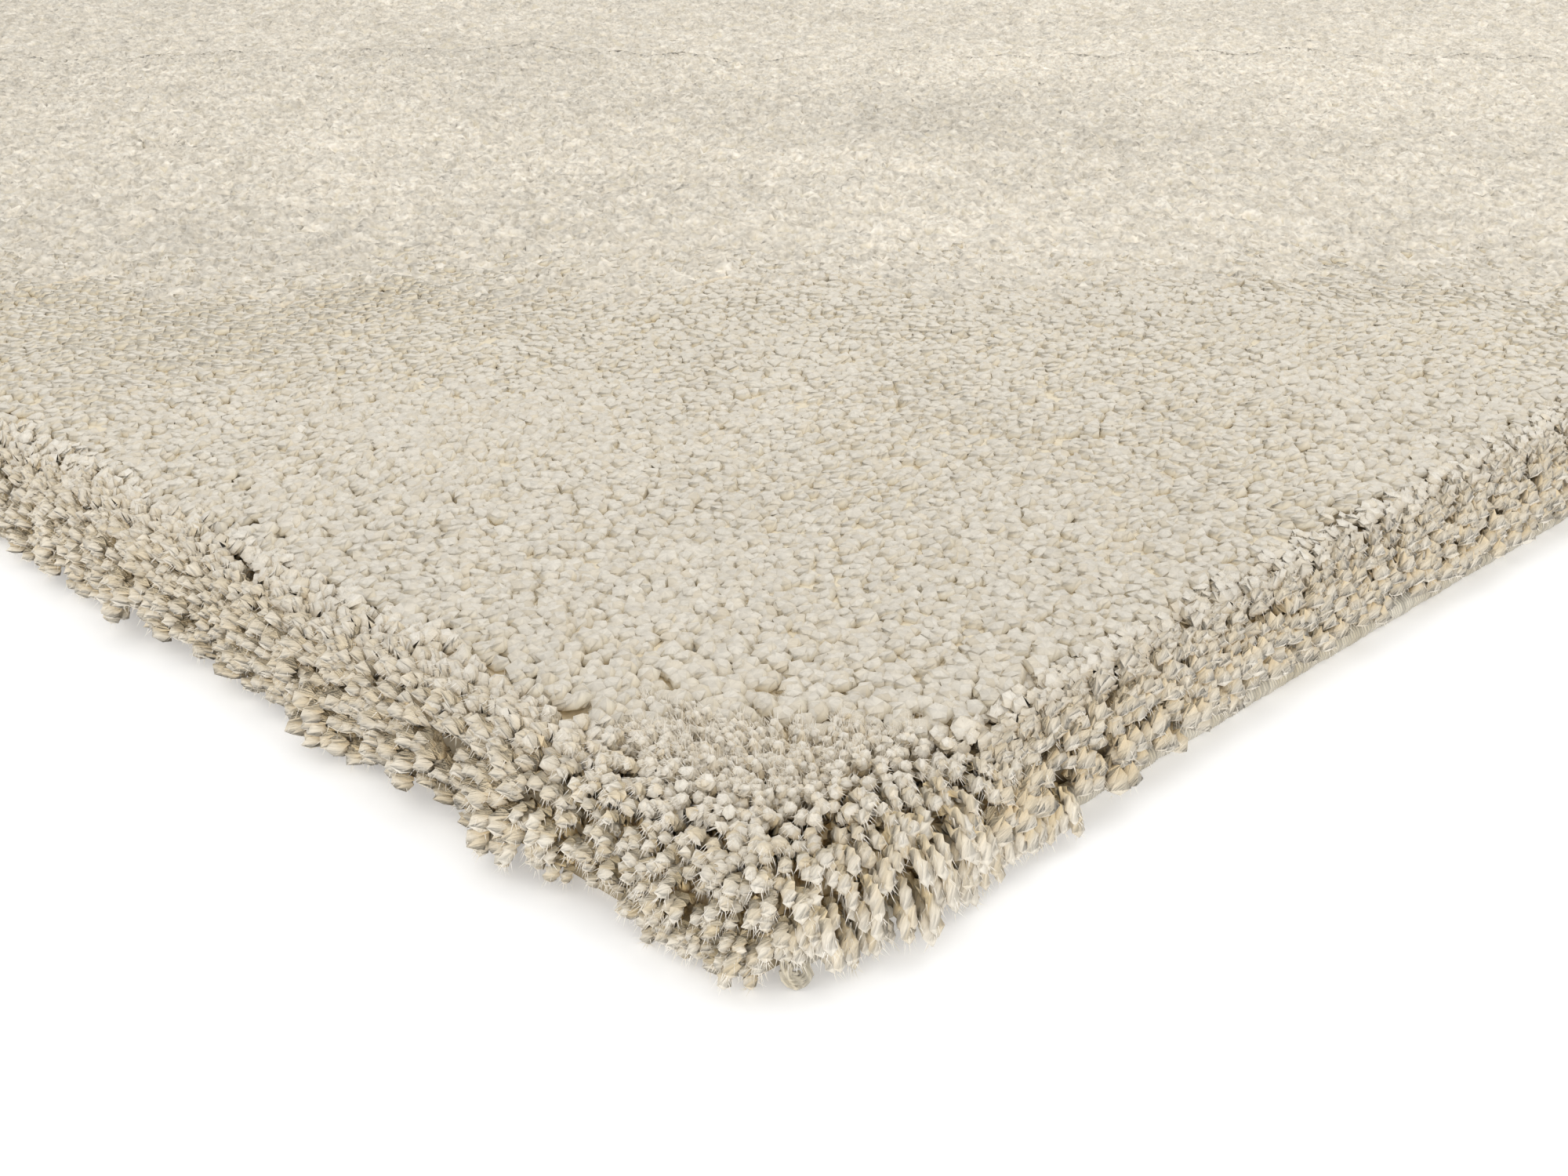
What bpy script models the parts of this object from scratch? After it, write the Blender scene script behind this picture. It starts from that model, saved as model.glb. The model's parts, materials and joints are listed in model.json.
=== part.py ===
"""Shag rug, 160 x 230 cm: a cut pile on a woven ground cloth, both long edges whipped.

Metres, +Z up. The origin is on the floor under the middle of the rug, X runs across the
rug and Y along it. Every piece is drawn on a true rectangle first, and one set of slow
waves then bends all of them alike, so that they keep clear of each other.
"""

import math
import random
from collections import namedtuple

import bmesh
import bpy
from mathutils import Vector, noise
from mathutils.geometry import delaunay_2d_cdt

RUG_WIDTH = 1.600             # over the two whipped edges
RUG_LENGTH = 2.300            # of the ground cloth, between its turned ends
GROUND_THICKNESS = 0.003
PILE_TOP = 0.033              # mean height of the tuft tips over the floor
SELVEDGE_DIAMETER = 0.008     # the whipped cord, over its thread
GAP = 0.0003                  # left between pieces that touch

LUMPS = (                     # size across and height of the swells in the pile
    (0.330, 0.0060),
    (0.135, 0.0050),
)
LUMP_LAYERS_APART = 7.3       # keeps the two layers of swells from looking alike

# Each edge strays from straight in a slow wave and a quicker one. "turn" is where on the
# slow wave an edge starts, in radians, and sets the four edges apart.
WAVE = 0.0035
SLOW_WAVE_LENGTH = 1.13
QUICK_WAVE_LENGTH = 0.62
SLOW_SHARE = 0.65
QUICK_TURNS = 2.3
RIGHT_TURN = 0.4
LEFT_TURN = 2.9
FAR_TURN = 1.7
NEAR_TURN = 4.4

SELVEDGE_STATIONS = 31        # rings along a whipped edge, ends included
SELVEDGE_SIDES = 8
SELVEDGE_STOPS_SHORT = 0.008  # of the end of the ground cloth
END_STATIONS = 21             # points along a short end of the ground cloth

CORNER_RADIUS = 0.024         # of the pile, on the rug's own outline
CORNER_COLUMNS = 4
LONG_COLUMNS = 82
SHORT_COLUMNS = 56
TOP_LATTICE = 0.058           # spacing of the points on the lumpy top
UNDER_LATTICE = 0.200
LATTICE_CLEARANCE = 0.55      # of a spacing, between the lattice and the ring round it
MERGE = 0.000001

# The pile's rim from the top down. It stands nearly flush with the whipped edge along a
# long side, and spreads out at the ends and round the corners. "out" and "spread_out" are
# measured outwards from the rug's outline. "over_z" is the height where the rim passes over
# the whipped edge or a corner, and "fallen_z" where it falls to the floor at an end.
RimRing = namedtuple("RimRing", "out spread_out over_z fallen_z lump_share")
RIM = (
    RimRing(-0.022, -0.022, PILE_TOP, PILE_TOP, 1.0),
    RimRing(-0.008, -0.006, 0.0305, 0.0300, 0.8),
    RimRing(0.000, 0.004, 0.0215, 0.0195, 0.4),
    RimRing(0.001, 0.0055, 0.0118, 0.0050, 0.0),
    RimRing(-0.009, -0.009, 0.0088, 0.0036, 0.0),
    RimRing(-0.0095, -0.0095, GROUND_THICKNESS + GAP, GROUND_THICKNESS + GAP, 0.0),
)
SPREAD_KEPT = 0.050           # how far from a corner the rim of a long side stays spread
SPREAD_GONE = 0.110

# A lock of yarn grows out of one face of the rim in two steps.
LockStep = namedtuple("LockStep", "out down scale")
UPPER_LOCK = (LockStep(0.0065, 0.004, 0.84), LockStep(0.004, 0.006, 0.52))
LOWER_LOCK = (LockStep(0.006, 0.002, 0.84), LockStep(0.0035, 0.003, 0.56))
LONG_SIDE_LOCK = 0.50         # length of a lock on a long side, against one at an end
LOCK_VARIETY = 0.28
LOCK_SWAY = 0.003
LOCK_FLOOR = 0.0012           # the lowest that a lock's tip hangs
LOCK_SEED = 160230

YARN_COLOUR = (0.67, 0.60, 0.49, 1.0)
THREAD_COLOUR = (0.52, 0.47, 0.38, 1.0)
CLOTH_COLOUR = (0.47, 0.40, 0.30, 1.0)
YARN_ROUGHNESS = 0.92
THREAD_ROUGHNESS = 0.75
CLOTH_ROUGHNESS = 0.90

Rim = namedtuple("Rim", "point outward spread fallen")


def remove_everything():
    for thing in list(bpy.data.objects):
        bpy.data.objects.remove(thing, do_unlink=True)


def make_material(name, colour, roughness):
    material = bpy.data.materials.new(name)
    material.use_nodes = True
    shader = material.node_tree.nodes["Principled BSDF"]
    shader.inputs["Base Color"].default_value = colour
    shader.inputs["Roughness"].default_value = roughness
    shader.inputs["Metallic"].default_value = 0.0
    return material


def make_object(name, bm, material):
    bmesh.ops.triangulate(bm, faces=bm.faces)
    mesh = bpy.data.meshes.new(name)
    bm.to_mesh(mesh)
    bm.free()
    mesh.materials.append(material)
    thing = bpy.data.objects.new(name, mesh)
    bpy.context.scene.collection.objects.link(thing)
    return thing


def between(low, high, share):
    return low + (high - low) * share


def edge_wave(along, turn):
    """How far an edge strays at a place along it."""
    slow = math.sin(math.tau * along / SLOW_WAVE_LENGTH + turn)
    quick = math.sin(math.tau * along / QUICK_WAVE_LENGTH + QUICK_TURNS * turn)
    return WAVE * between(quick, slow, SLOW_SHARE)


def laid(x, y, z):
    """The place on the floor of a point of the true rectangle."""
    right = x / RUG_WIDTH + 0.5
    far = y / RUG_LENGTH + 0.5
    across = between(edge_wave(y, LEFT_TURN), edge_wave(y, RIGHT_TURN), right)
    along = between(edge_wave(x, NEAR_TURN), edge_wave(x, FAR_TURN), far)
    return Vector((x + across, y + along, z))


def lump(x, y):
    """Height of the pile's swells and hollows over its mean top."""
    total = 0.0
    for layer, (size, height) in enumerate(LUMPS):
        place = Vector((x / size, y / size, LUMP_LAYERS_APART * layer))
        total += height * noise.noise(place)
    return total


def top_height(x, y):
    return PILE_TOP + lump(x, y)


def under_height(_x, _y):
    return GROUND_THICKNESS + GAP


def evenly(low, high, count):
    return [low + (high - low) * step / (count - 1) for step in range(count)]


def selvedge_stations():
    reach = RUG_LENGTH / 2 - SELVEDGE_STOPS_SHORT
    return evenly(-reach, reach, SELVEDGE_STATIONS)


def make_ground(material):
    """The woven ground cloth, which lies on the floor between the whipped edges."""
    half_width = RUG_WIDTH / 2 - SELVEDGE_DIAMETER - GAP
    half_length = RUG_LENGTH / 2
    up = [-half_length] + selvedge_stations() + [half_length]
    right = evenly(-half_width, half_width, END_STATIONS)
    outline = [(half_width, y) for y in up]
    outline += [(x, half_length) for x in reversed(right[1:-1])]
    outline += [(-half_width, y) for y in reversed(up)]
    outline += [(x, -half_length) for x in right[1:-1]]
    bm = bmesh.new()
    face = bm.faces.new([bm.verts.new(laid(x, y, 0.0)) for x, y in outline])
    raised = bmesh.ops.extrude_face_region(bm, geom=[face], use_keep_orig=True)
    top = [item for item in raised["geom"] if isinstance(item, bmesh.types.BMVert)]
    bmesh.ops.translate(bm, verts=top, vec=(0.0, 0.0, GROUND_THICKNESS))
    bmesh.ops.recalc_face_normals(bm, faces=bm.faces)
    return make_object("ground_cloth", bm, material)


def make_selvedge(name, side, material):
    """A long edge whipped over a cord: a tube that lies on one of its flats."""
    across_flats = SELVEDGE_DIAMETER / 2
    corner = across_flats / math.cos(math.pi / SELVEDGE_SIDES)
    middle = side * (RUG_WIDTH / 2 - across_flats)
    bm = bmesh.new()
    rings = []
    for y in selvedge_stations():
        ring = []
        for index in range(SELVEDGE_SIDES):
            angle = math.tau * (index + 0.5) / SELVEDGE_SIDES
            x = middle + corner * math.cos(angle)
            ring.append(bm.verts.new(laid(x, y, across_flats + corner * math.sin(angle))))
        rings.append(ring)
    for low, high in zip(rings, rings[1:]):
        join_rings(bm, low, high)
    bm.faces.new(rings[0])
    bm.faces.new(list(reversed(rings[-1])))
    bmesh.ops.recalc_face_normals(bm, faces=bm.faces)
    return make_object(name, bm, material)


def join_rings(bm, low, high):
    count = len(low)
    faces = []
    for index in range(count):
        after = (index + 1) % count
        faces.append(bm.faces.new((low[index], low[after], high[after], high[index])))
    return faces


def rim_points():
    """Points once round the rug's outline, anticlockwise from the right-hand side."""
    straight_x = RUG_WIDTH / 2 - CORNER_RADIUS
    straight_y = RUG_LENGTH / 2 - CORNER_RADIUS
    long_side = evenly(-straight_y, straight_y, LONG_COLUMNS + 1)
    short_end = evenly(-straight_x, straight_x, SHORT_COLUMNS + 1)
    points = []
    for turn in range(4):
        angle = turn * math.pi / 2
        outward = Vector((math.cos(angle), math.sin(angle)))
        forward = Vector((-outward.y, outward.x))
        is_end = turn % 2
        run = short_end if is_end else long_side
        reach = (RUG_LENGTH if is_end else RUG_WIDTH) / 2
        for place in run[1:-1]:
            spread = 1.0 if is_end else side_spread(straight_y - abs(place))
            points.append(Rim(outward * reach + forward * place, outward, spread, is_end))
        centre = outward * (reach - CORNER_RADIUS) + forward * run[-1]
        for step in range(CORNER_COLUMNS + 1):
            bend = angle + math.pi / 2 * step / CORNER_COLUMNS
            spoke = Vector((math.cos(bend), math.sin(bend)))
            at_end = step == (0 if is_end else CORNER_COLUMNS)
            points.append(Rim(centre + spoke * CORNER_RADIUS, spoke, 1.0, 0.5 * at_end))
    return points


def side_spread(from_corner):
    """How much of the spread at a corner is left at a distance along a long side."""
    share = (SPREAD_GONE - from_corner) / (SPREAD_GONE - SPREAD_KEPT)
    return min(1.0, max(0.0, share))


def rim_place(rim, profile):
    return rim.point + rim.outward * between(profile.out, profile.spread_out, rim.spread)


def rim_ring(bm, points, profile):
    ring = []
    for rim in points:
        x, y = rim_place(rim, profile)
        z = between(profile.over_z, profile.fallen_z, rim.fallen)
        z += profile.lump_share * lump(x, y)
        ring.append(bm.verts.new(laid(x, y, z)))
    return ring


def lattice(spacing, clearance):
    """A triangular lattice of points over the rug, kept clear of its outline."""
    row_height = spacing * math.sqrt(3) / 2
    half_x = RUG_WIDTH / 2 - clearance
    half_y = RUG_LENGTH / 2 - clearance
    rows = int(half_y / row_height)
    columns = int(half_x / spacing)
    points = []
    for row in range(-rows, rows + 1):
        shift = spacing / 2 if row % 2 else 0.0
        for column in range(-columns, columns + 1):
            x = column * spacing + shift
            if abs(x) <= half_x:
                points.append((x, row * row_height))
    return points


def fill_ring(bm, ring, points, profile, height, spacing, faces_up):
    """Close a ring of the rim with a sheet of triangles over a lattice of points."""
    flat = [rim_place(rim, profile) for rim in points]
    inside = lattice(spacing, spacing * LATTICE_CLEARANCE - profile.out)
    count = len(flat)
    edges = [(index, (index + 1) % count) for index in range(count)]
    places = flat + [Vector(point) for point in inside]
    inside_only = 1
    out = delaunay_2d_cdt(places, edges, [], inside_only, MERGE)
    verts, faces, sources = out[0], out[2], out[3]
    made = []
    for place, source in zip(verts, sources):
        if source and source[0] < count:
            made.append(ring[source[0]])
        else:
            made.append(bm.verts.new(laid(place.x, place.y, height(place.x, place.y))))
    for face in faces:
        corners = [made[index] for index in face]
        bm.faces.new(corners if faces_up else list(reversed(corners)))


def grow_lock(bm, face, rim, after, steps, dice):
    """One tapered lock of yarn, drawn out of the face between two points of the rim."""
    length = 1.0 + LOCK_VARIETY * dice.uniform(-1.0, 1.0)
    length *= between(LONG_SIDE_LOCK, 1.0, rim.spread)
    sway = LOCK_SWAY * dice.uniform(-1.0, 1.0)
    outwards = (rim.outward + after.outward).normalized().to_3d()
    sideways = Vector((-outwards.y, outwards.x, 0.0))
    for step in steps:
        face = bmesh.ops.extrude_discrete_faces(bm, faces=[face])["faces"][0]
        middle = face.calc_center_median()
        move = outwards * step.out * length + sideways * sway
        move.z = -step.down * length
        for vert in face.verts:
            vert.co = middle + (vert.co - middle) * step.scale + move
            vert.co.z = max(vert.co.z, LOCK_FLOOR)


def make_pile(material):
    """The pile as one lumpy slab, with locks of yarn standing out of its rim."""
    dice = random.Random(LOCK_SEED)
    points = rim_points()
    bm = bmesh.new()
    rings = [rim_ring(bm, points, profile) for profile in RIM]
    bands = [join_rings(bm, low, high) for high, low in zip(rings, rings[1:])]
    fill_ring(bm, rings[0], points, RIM[0], top_height, TOP_LATTICE, True)
    fill_ring(bm, rings[-1], points, RIM[-1], under_height, UNDER_LATTICE, False)
    bm.normal_update()
    upper, lower = bands[1], bands[2]
    for index, rim in enumerate(points):
        after = points[(index + 1) % len(points)]
        if index % 2:
            grow_lock(bm, upper[index], rim, after, UPPER_LOCK, dice)
        else:
            grow_lock(bm, lower[index], rim, after, LOWER_LOCK, dice)
    return make_object("pile", bm, material)


def main():
    remove_everything()
    yarn = make_material("pile_yarn", YARN_COLOUR, YARN_ROUGHNESS)
    thread = make_material("whipping_thread", THREAD_COLOUR, THREAD_ROUGHNESS)
    cloth = make_material("ground_weave", CLOTH_COLOUR, CLOTH_ROUGHNESS)
    make_ground(cloth)
    make_selvedge("selvedge_left", -1, thread)
    make_selvedge("selvedge_right", 1, thread)
    make_pile(yarn)


main()
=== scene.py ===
"""The looks of a shag rug, 160 x 230 cm: two-ply yarn tufts in a woven ground cloth, both long
edges whipped over a cord.

Metres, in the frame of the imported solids: the origin is on the floor under the middle of the
rug, X runs across it, Y along it and +Z up out of the pile. Tufts are planted on a true
rectangle first, and the lines of the ground cloth's four edges then bend all of them alike.
"""

import json
import math
from collections import namedtuple

import bmesh
import bpy
import numpy as np
from bpy.props import FloatProperty, FloatVectorProperty, PointerProperty
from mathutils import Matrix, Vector
from mathutils.bvhtree import BVHTree

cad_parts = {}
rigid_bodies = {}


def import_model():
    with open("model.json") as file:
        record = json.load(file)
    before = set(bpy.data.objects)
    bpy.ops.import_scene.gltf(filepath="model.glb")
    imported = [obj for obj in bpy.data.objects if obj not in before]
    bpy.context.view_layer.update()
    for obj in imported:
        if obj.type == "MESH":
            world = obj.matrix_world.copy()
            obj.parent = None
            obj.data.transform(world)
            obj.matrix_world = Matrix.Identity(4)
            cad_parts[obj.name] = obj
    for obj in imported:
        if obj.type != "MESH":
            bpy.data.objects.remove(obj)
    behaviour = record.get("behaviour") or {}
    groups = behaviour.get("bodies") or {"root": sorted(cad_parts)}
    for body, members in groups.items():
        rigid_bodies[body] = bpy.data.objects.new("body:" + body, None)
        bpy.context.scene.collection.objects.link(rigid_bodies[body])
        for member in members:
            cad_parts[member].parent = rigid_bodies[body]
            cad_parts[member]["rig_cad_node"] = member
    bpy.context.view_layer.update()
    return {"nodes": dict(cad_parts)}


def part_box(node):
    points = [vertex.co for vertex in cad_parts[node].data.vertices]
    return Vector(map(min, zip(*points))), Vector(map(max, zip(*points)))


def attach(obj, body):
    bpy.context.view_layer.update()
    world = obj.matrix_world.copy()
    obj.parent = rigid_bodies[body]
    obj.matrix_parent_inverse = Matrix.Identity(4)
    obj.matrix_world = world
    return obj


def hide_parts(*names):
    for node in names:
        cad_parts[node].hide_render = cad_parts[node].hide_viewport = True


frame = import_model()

bl_info = {
    "name": "Shag rug",
    "version": (1, 0, 0),
    "blender": (4, 5, 0),
    "location": "3D View > Sidebar > Rug",
    "description": "Covers the solids of a shag rug with tufts and whipped edges, and lights it",
    "category": "Object",
}

RUG_WIDTH = 1.600             # over the two whipped edges
RUG_LENGTH = 2.300            # of the ground cloth, between its turned ends
PILE_HEIGHT = 0.030
GROUND_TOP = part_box("ground_cloth")[1].z
ROOT_HEIGHT = GROUND_TOP + 0.0006
HALF = np.array([RUG_WIDTH / 2, RUG_LENGTH / 2])

# The field inside the rim is laid out in square tiles, and each tile has tufts of one kind.
RIM_DEPTH = 0.034             # how far in from the outline the tufts lean out
INNER = HALF - RIM_DEPTH
TILES = np.array([44, 64])    # across and along
FINE_PEAKS = 8                # packed tips across a tile in the middle of the view,
MEDIUM_PEAKS = 6              # further off
COARSE_PEAKS = 4              # and outside the view

# The view: lens, height and heading of the photograph.
LENS = 45.5
SENSOR = 36.0
PHOTO_SIZE = (2000, 1500)
CAMERA_PLACE = Vector((1.0737, -1.4190, 0.2742))
CAMERA_PITCH = math.radians(24.0)
CAMERA_HEADING = math.radians(44.99)
AHEAD = Vector((-math.sin(CAMERA_HEADING), math.cos(CAMERA_HEADING)))
ASIDE = Vector((AHEAD.y, -AHEAD.x))
VIEW_MARGIN = 0.03

# How far ahead of the camera, over the floor, each kind of pile is used.
NEAR_TUFTS_END = 0.735
MIDDLE_TUFTS_END = 0.88
FINE_SHEET_END = 1.52
NEAR_RIM_END = 1.25
UNEVEN_END = 0.03             # how unevenly one kind gives way to the next
STRAY_REACH = 0.10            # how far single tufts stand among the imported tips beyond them

CORNER = HALF * (1, -1)       # the corner in front, on the true rectangle

# One kind of tuft: its sides and rings, how gathered the rings are towards the tip, the part
# of its length that is left out at the root, how ragged its cut end is, its girth against
# the yarn's, how flat it is across both plies, and how far it narrows from its foot to its
# tip where it lies out, as packed tufts do.
Grade = namedtuple("Grade", "sides rings gather first_part ragged girth flatness taper")
CORNER_GRADE = Grade(6, 7, 1.40, 0.26, 0.22, 0.74, 0.88, 0.10)
EDGE_GRADE = Grade(5, 6, 1.5, 0.42, 0.20, 1.16, 0.96, 0.10)
NEAR_GRADE = Grade(5, 4, 1.7, 0.76, 0.18, 1.46, 0.90, 1.00)
MIDDLE_GRADE = Grade(4, 4, 1.7, 0.72, 0.15, 1.48, 1.00, 1.00)
RIM_GRADE = Grade(4, 4, 1.6, 0.40, 0.10, 1.70, 0.95, 0.70)
FLARE = 1.12                  # of a cut end against the yarn

SKIN_COLUMNS = 32             # cells of the yarn's map: random looks
SKIN_ROWS = 8                 # and tones, from dark to light
# Painted light and shade in rows of the yarn's map: from the lie of the pile, and darker where a
# tuft lies down, and where it is sunken among tufts that shade it.
LAY_LIGHT_ROWS = 2.0              # rows that the lay of the pile shifts a tuft's tone by,
FALLEN_PAINTED_SHADE = 0.4           # that it is darker lying down,
SUNKEN_PAINTED_SHADE = 2.0           # and sunken
TONE_SCATTER = 0.9
GIRTH_SCATTER = 0.10


def paint(red, green, blue):
    """A colour given in 0 to 255 steps, as light."""
    steps = np.array([red, green, blue]) / 255
    low = steps / 12.92
    high = ((steps + 0.055) / 1.055) ** 2.4
    return (*np.where(steps < 0.04045, low, high), 1.0)


# ---------------------------------------------------------------- the frame's own shapes

def edge_line(points, along, side, count):
    """One edge of the ground cloth, as places along it and how far out it lies there."""
    across = 1 - along
    stations = np.linspace(points[:, along].min(), points[:, along].max(), count)
    nearest = np.abs(points[:, along, None] - stations).argmin(1)
    line = []
    for index in range(count):
        group = points[nearest == index]
        outermost = group[(side * group[:, across]).argmax()]
        line.append((stations[index], outermost[across]))
    return np.array(line).T


CLOTH = np.array([vertex.co[:] for vertex in frame["nodes"]["ground_cloth"].data.vertices])
WHIPPED = 0.0083              # the whipped cord and its gap, outside the ground cloth
RIGHT = edge_line(CLOTH, 1, 1, 31)
LEFT = edge_line(CLOTH, 1, -1, 31)
FAR = edge_line(CLOTH, 0, 1, 21)
NEAR = edge_line(CLOTH, 0, -1, 21)


def lay(x, y):
    """Where a place on the true rectangle lies on the floor."""
    right = np.interp(y, *RIGHT) + WHIPPED
    left = np.interp(y, *LEFT) - WHIPPED
    far = np.interp(x, *FAR)
    near = np.interp(x, *NEAR)
    across = left + (right - left) * (x / RUG_WIDTH + 0.5)
    along = near + (far - near) * (y / RUG_LENGTH + 0.5)
    return across, along


TOP_STEP = 0.020              # between the places where the pile's height is read
TOP_INSET = 0.026


def read_tops():
    """Heights of the pile's lumpy top over a grid inside its rim."""
    pile = frame["nodes"]["pile"].data
    corners = [vertex.co for vertex in pile.vertices]
    tree = BVHTree.FromPolygons(corners, [face.vertices for face in pile.polygons])
    xs, ys = (np.linspace(-reach, reach, int(2 * reach / TOP_STEP) + 1)
              for reach in HALF - TOP_INSET)
    down = Vector((0.0, 0.0, -1.0))
    heights = [[tree.ray_cast(Vector((x, y, 1.0)), down)[0].z for y in ys] for x in xs]
    return xs, ys, np.array(heights)


TOP_XS, TOP_YS, TOPS = read_tops()


def between(table, low, high, share):
    """A table's value between four of its cells."""
    (i0, j0), (i1, j1), (s, t) = low, high, share
    first = table[i0, j0] * (1 - t) + table[i0, j1] * t
    second = table[i1, j0] * (1 - t) + table[i1, j1] * t
    return first * (1 - s) + second * s


def top_height(x, y):
    """Height of the pile's top, read between the grid's points."""
    i = np.clip((x - TOP_XS[0]) / (TOP_XS[1] - TOP_XS[0]), 0, len(TOP_XS) - 1.001)
    j = np.clip((y - TOP_YS[0]) / (TOP_YS[1] - TOP_YS[0]), 0, len(TOP_YS) - 1.001)
    i0, j0 = i.astype(int), j.astype(int)
    return between(TOPS, (i0, j0), (i0 + 1, j0 + 1), (i - i0, j - j0))


# ---------------------------------------------------------------- how the pile lies

NOISE_TABLE = 64


def swell(x, y, size, seed):
    """Soft noise from -1 to 1 over the floor, in bumps about one size across."""
    table = np.random.default_rng(seed).uniform(-1, 1, (NOISE_TABLE, NOISE_TABLE))
    u, v = x / size + 17.3, y / size + 31.7
    i, j = np.floor(u).astype(int), np.floor(v).astype(int)
    s, t = u - i, v - j
    low = (i % NOISE_TABLE, j % NOISE_TABLE)
    high = ((i + 1) % NOISE_TABLE, (j + 1) % NOISE_TABLE)
    return between(table, low, high, (s * s * (3 - 2 * s), t * t * (3 - 2 * t)))


def swells(x, y, *parts):
    """Swells added up: each part is an amount, a size and a seed."""
    return sum(amount * swell(x, y, size, seed) for amount, size, seed in parts)


def part_way(first, second, share):
    """A share of the way from the first value to the second."""
    return first + (second - first) * share


def nearest_seed(x, y, spacing, seed):
    """For each place, the nearest point of a jittered grid, about which yarn clumps."""
    jitter = np.random.default_rng(seed).uniform(-0.42, 0.42, (NOISE_TABLE, NOISE_TABLE, 2))
    column, row = np.round(x / spacing).astype(int), np.round(y / spacing).astype(int)
    best = np.full(x.shape, np.inf)
    found_x, found_y = np.copy(x), np.copy(y)
    for step_x in (-1, 0, 1):
        for step_y in (-1, 0, 1):
            i, j = column + step_x, row + step_y
            shift = jitter[i % NOISE_TABLE, j % NOISE_TABLE]
            seed_x = (i + shift[..., 0]) * spacing
            seed_y = (j + shift[..., 1]) * spacing
            far = (seed_x - x) ** 2 + (seed_y - y) ** 2
            closer = far < best
            best = np.where(closer, far, best)
            found_x = np.where(closer, seed_x, found_x)
            found_y = np.where(closer, seed_y, found_y)
    return found_x, found_y


# Patches of painted light and shade, where the pile lies towards the light or away from it:
# where they are on the rug, their length and width, the turn of their length from X, and how
# much lighter they are painted.
Patch = namedtuple("Patch", "x y length width turn lift")
PATCHES = (
    Patch(0.02, -0.73, 0.16, 0.14, 50, 0.9),
    Patch(0.13, -0.81, 0.14, 0.12, 40, 0.9),
    Patch(0.14, -0.67, 0.16, 0.12, 60, 0.8),
    Patch(0.11, -0.25, 0.30, 0.16, 50, 1.0),
    Patch(0.28, -0.57, 0.18, 0.12, 45, 1.0),
    Patch(0.44, -0.67, 0.18, 0.12, 50, 0.8),
    Patch(0.57, -0.92, 0.10, 0.12, 60, 0.8),
    Patch(0.34, -0.13, 0.20, 0.20, 45, 0.6),
    Patch(0.27, -0.51, 0.14, 0.09, 45, -1.1),
    Patch(0.47, -0.90, 0.14, 0.12, 50, -0.8),
    Patch(0.11, -0.75, 0.12, 0.09, 45, -0.7),
    Patch(0.19, -0.93, 0.20, 0.14, 45, -0.7),
    Patch(0.34, -0.41, 0.14, 0.12, 45, -0.7),
    Patch(0.61, -0.72, 0.14, 0.14, 45, -0.6),
    Patch(-0.12, -0.49, 0.20, 0.18, 45, -0.7),
)
# Painted shade over the corner in front: how much darker it is painted, and how far that
# reaches.
FRONT_PAINTED_SHADE = 1.8            # how much darker the corner in front is, and how far that goes
FRONT_SHADE_REACH = 0.45

# Short creases where the pile parts: where they are, their length and turn from X, and how
# far they push the tips apart.
Crease = namedtuple("Crease", "x y length turn push")
CREASES = (
    Crease(-0.024, -0.832, 0.060, 48, 0.0030),
    Crease(0.054, 0.049, 0.045, 30, 0.0030),
    Crease(0.526, -1.123, 0.018, 100, 0.0035),
    Crease(0.574, -1.151, 0.024, 80, 0.0035),
    Crease(0.754, -0.763, 0.034, 60, 0.0035),
    Crease(0.809, -0.823, 0.028, 40, 0.0040),
    Crease(0.790, -1.135, 0.040, -45, 0.0034),
)
CREASE_REACH = 0.007
CREASE_SINK = 0.0018          # of the tufts in a crease
CREASE_VALLEY = 0.004         # how much deeper a packed sheet is there


def turned(x, y, mark):
    """Places seen from a patch or a crease: along its length and across it."""
    turn = math.radians(mark.turn)
    dx, dy = x - mark.x, y - mark.y
    return (dx * math.cos(turn) + dy * math.sin(turn),
            dy * math.cos(turn) - dx * math.sin(turn))


def in_crease(x, y, crease):
    """How much a place is in a crease, from 0 to 1, and how far across it."""
    along, across = turned(x, y, crease)
    return np.exp(-(across / CREASE_REACH) ** 2 - (2 * along / crease.length) ** 4), across


def from_front(x, y):
    """Distance from the corner in front."""
    return np.hypot(x - CORNER[0], y - CORNER[1])


def painted_lay_light(x, y):
    """Painted light and shade from the lie of the pile, about -1 to 1: slow swells, a darker
    corner in front, and the patches.
    """
    tone = swells(x, y, (0.40, 0.26, 11), (0.40, 0.085, 12), (0.35, 0.030, 13))
    tone = tone - FRONT_PAINTED_SHADE * np.exp(-(from_front(x, y) / FRONT_SHADE_REACH) ** 2)
    for patch in PATCHES:
        along, across = turned(x, y, patch)
        far = (2 * along / patch.length) ** 2 + (2 * across / patch.width) ** 2
        tone = tone + patch.lift * np.exp(-far)
    return tone


# The curve on which the tips of a rim lie, from upright tufts to the most fallen ones:
# "out" is from the outline, "low" is the height of the lowest tips.
OUTLINE_ROUNDING = 0.009
PARTING_REACH = 0.080         # how far from a corner the two ways out start to blend
SIDE_OUT, END_OUT = 0.0040, 0.0085
SIDE_LOW, END_LOW = 0.0088, 0.0040
SIDE_FIRST, END_FIRST = 0.0100, 0.0012    # depth of the outermost tufts' roots
CORNER_SIDE_OUT = 0.0050      # how much further the pile falls over the cord by a corner
CORNER_REACH_OUT = 0.90       # share of a root's way beyond the outline that its tip keeps
RIM_SQUARENESS = 2.7
RIM_SPAN = 0.040              # usual width and height of the curve
RIM_DROP = 0.024
CLUMP_SIZE = 0.017
RIM_CLUMP_SIZE = 0.024
TUFT_GROUP = 0.0085           # a few tufts whose tips touch
FIELD_PULL = 0.08             # share of the way to its clump's middle that a tip leans,
RIM_PULL = 0.16               # in the rim,
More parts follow.
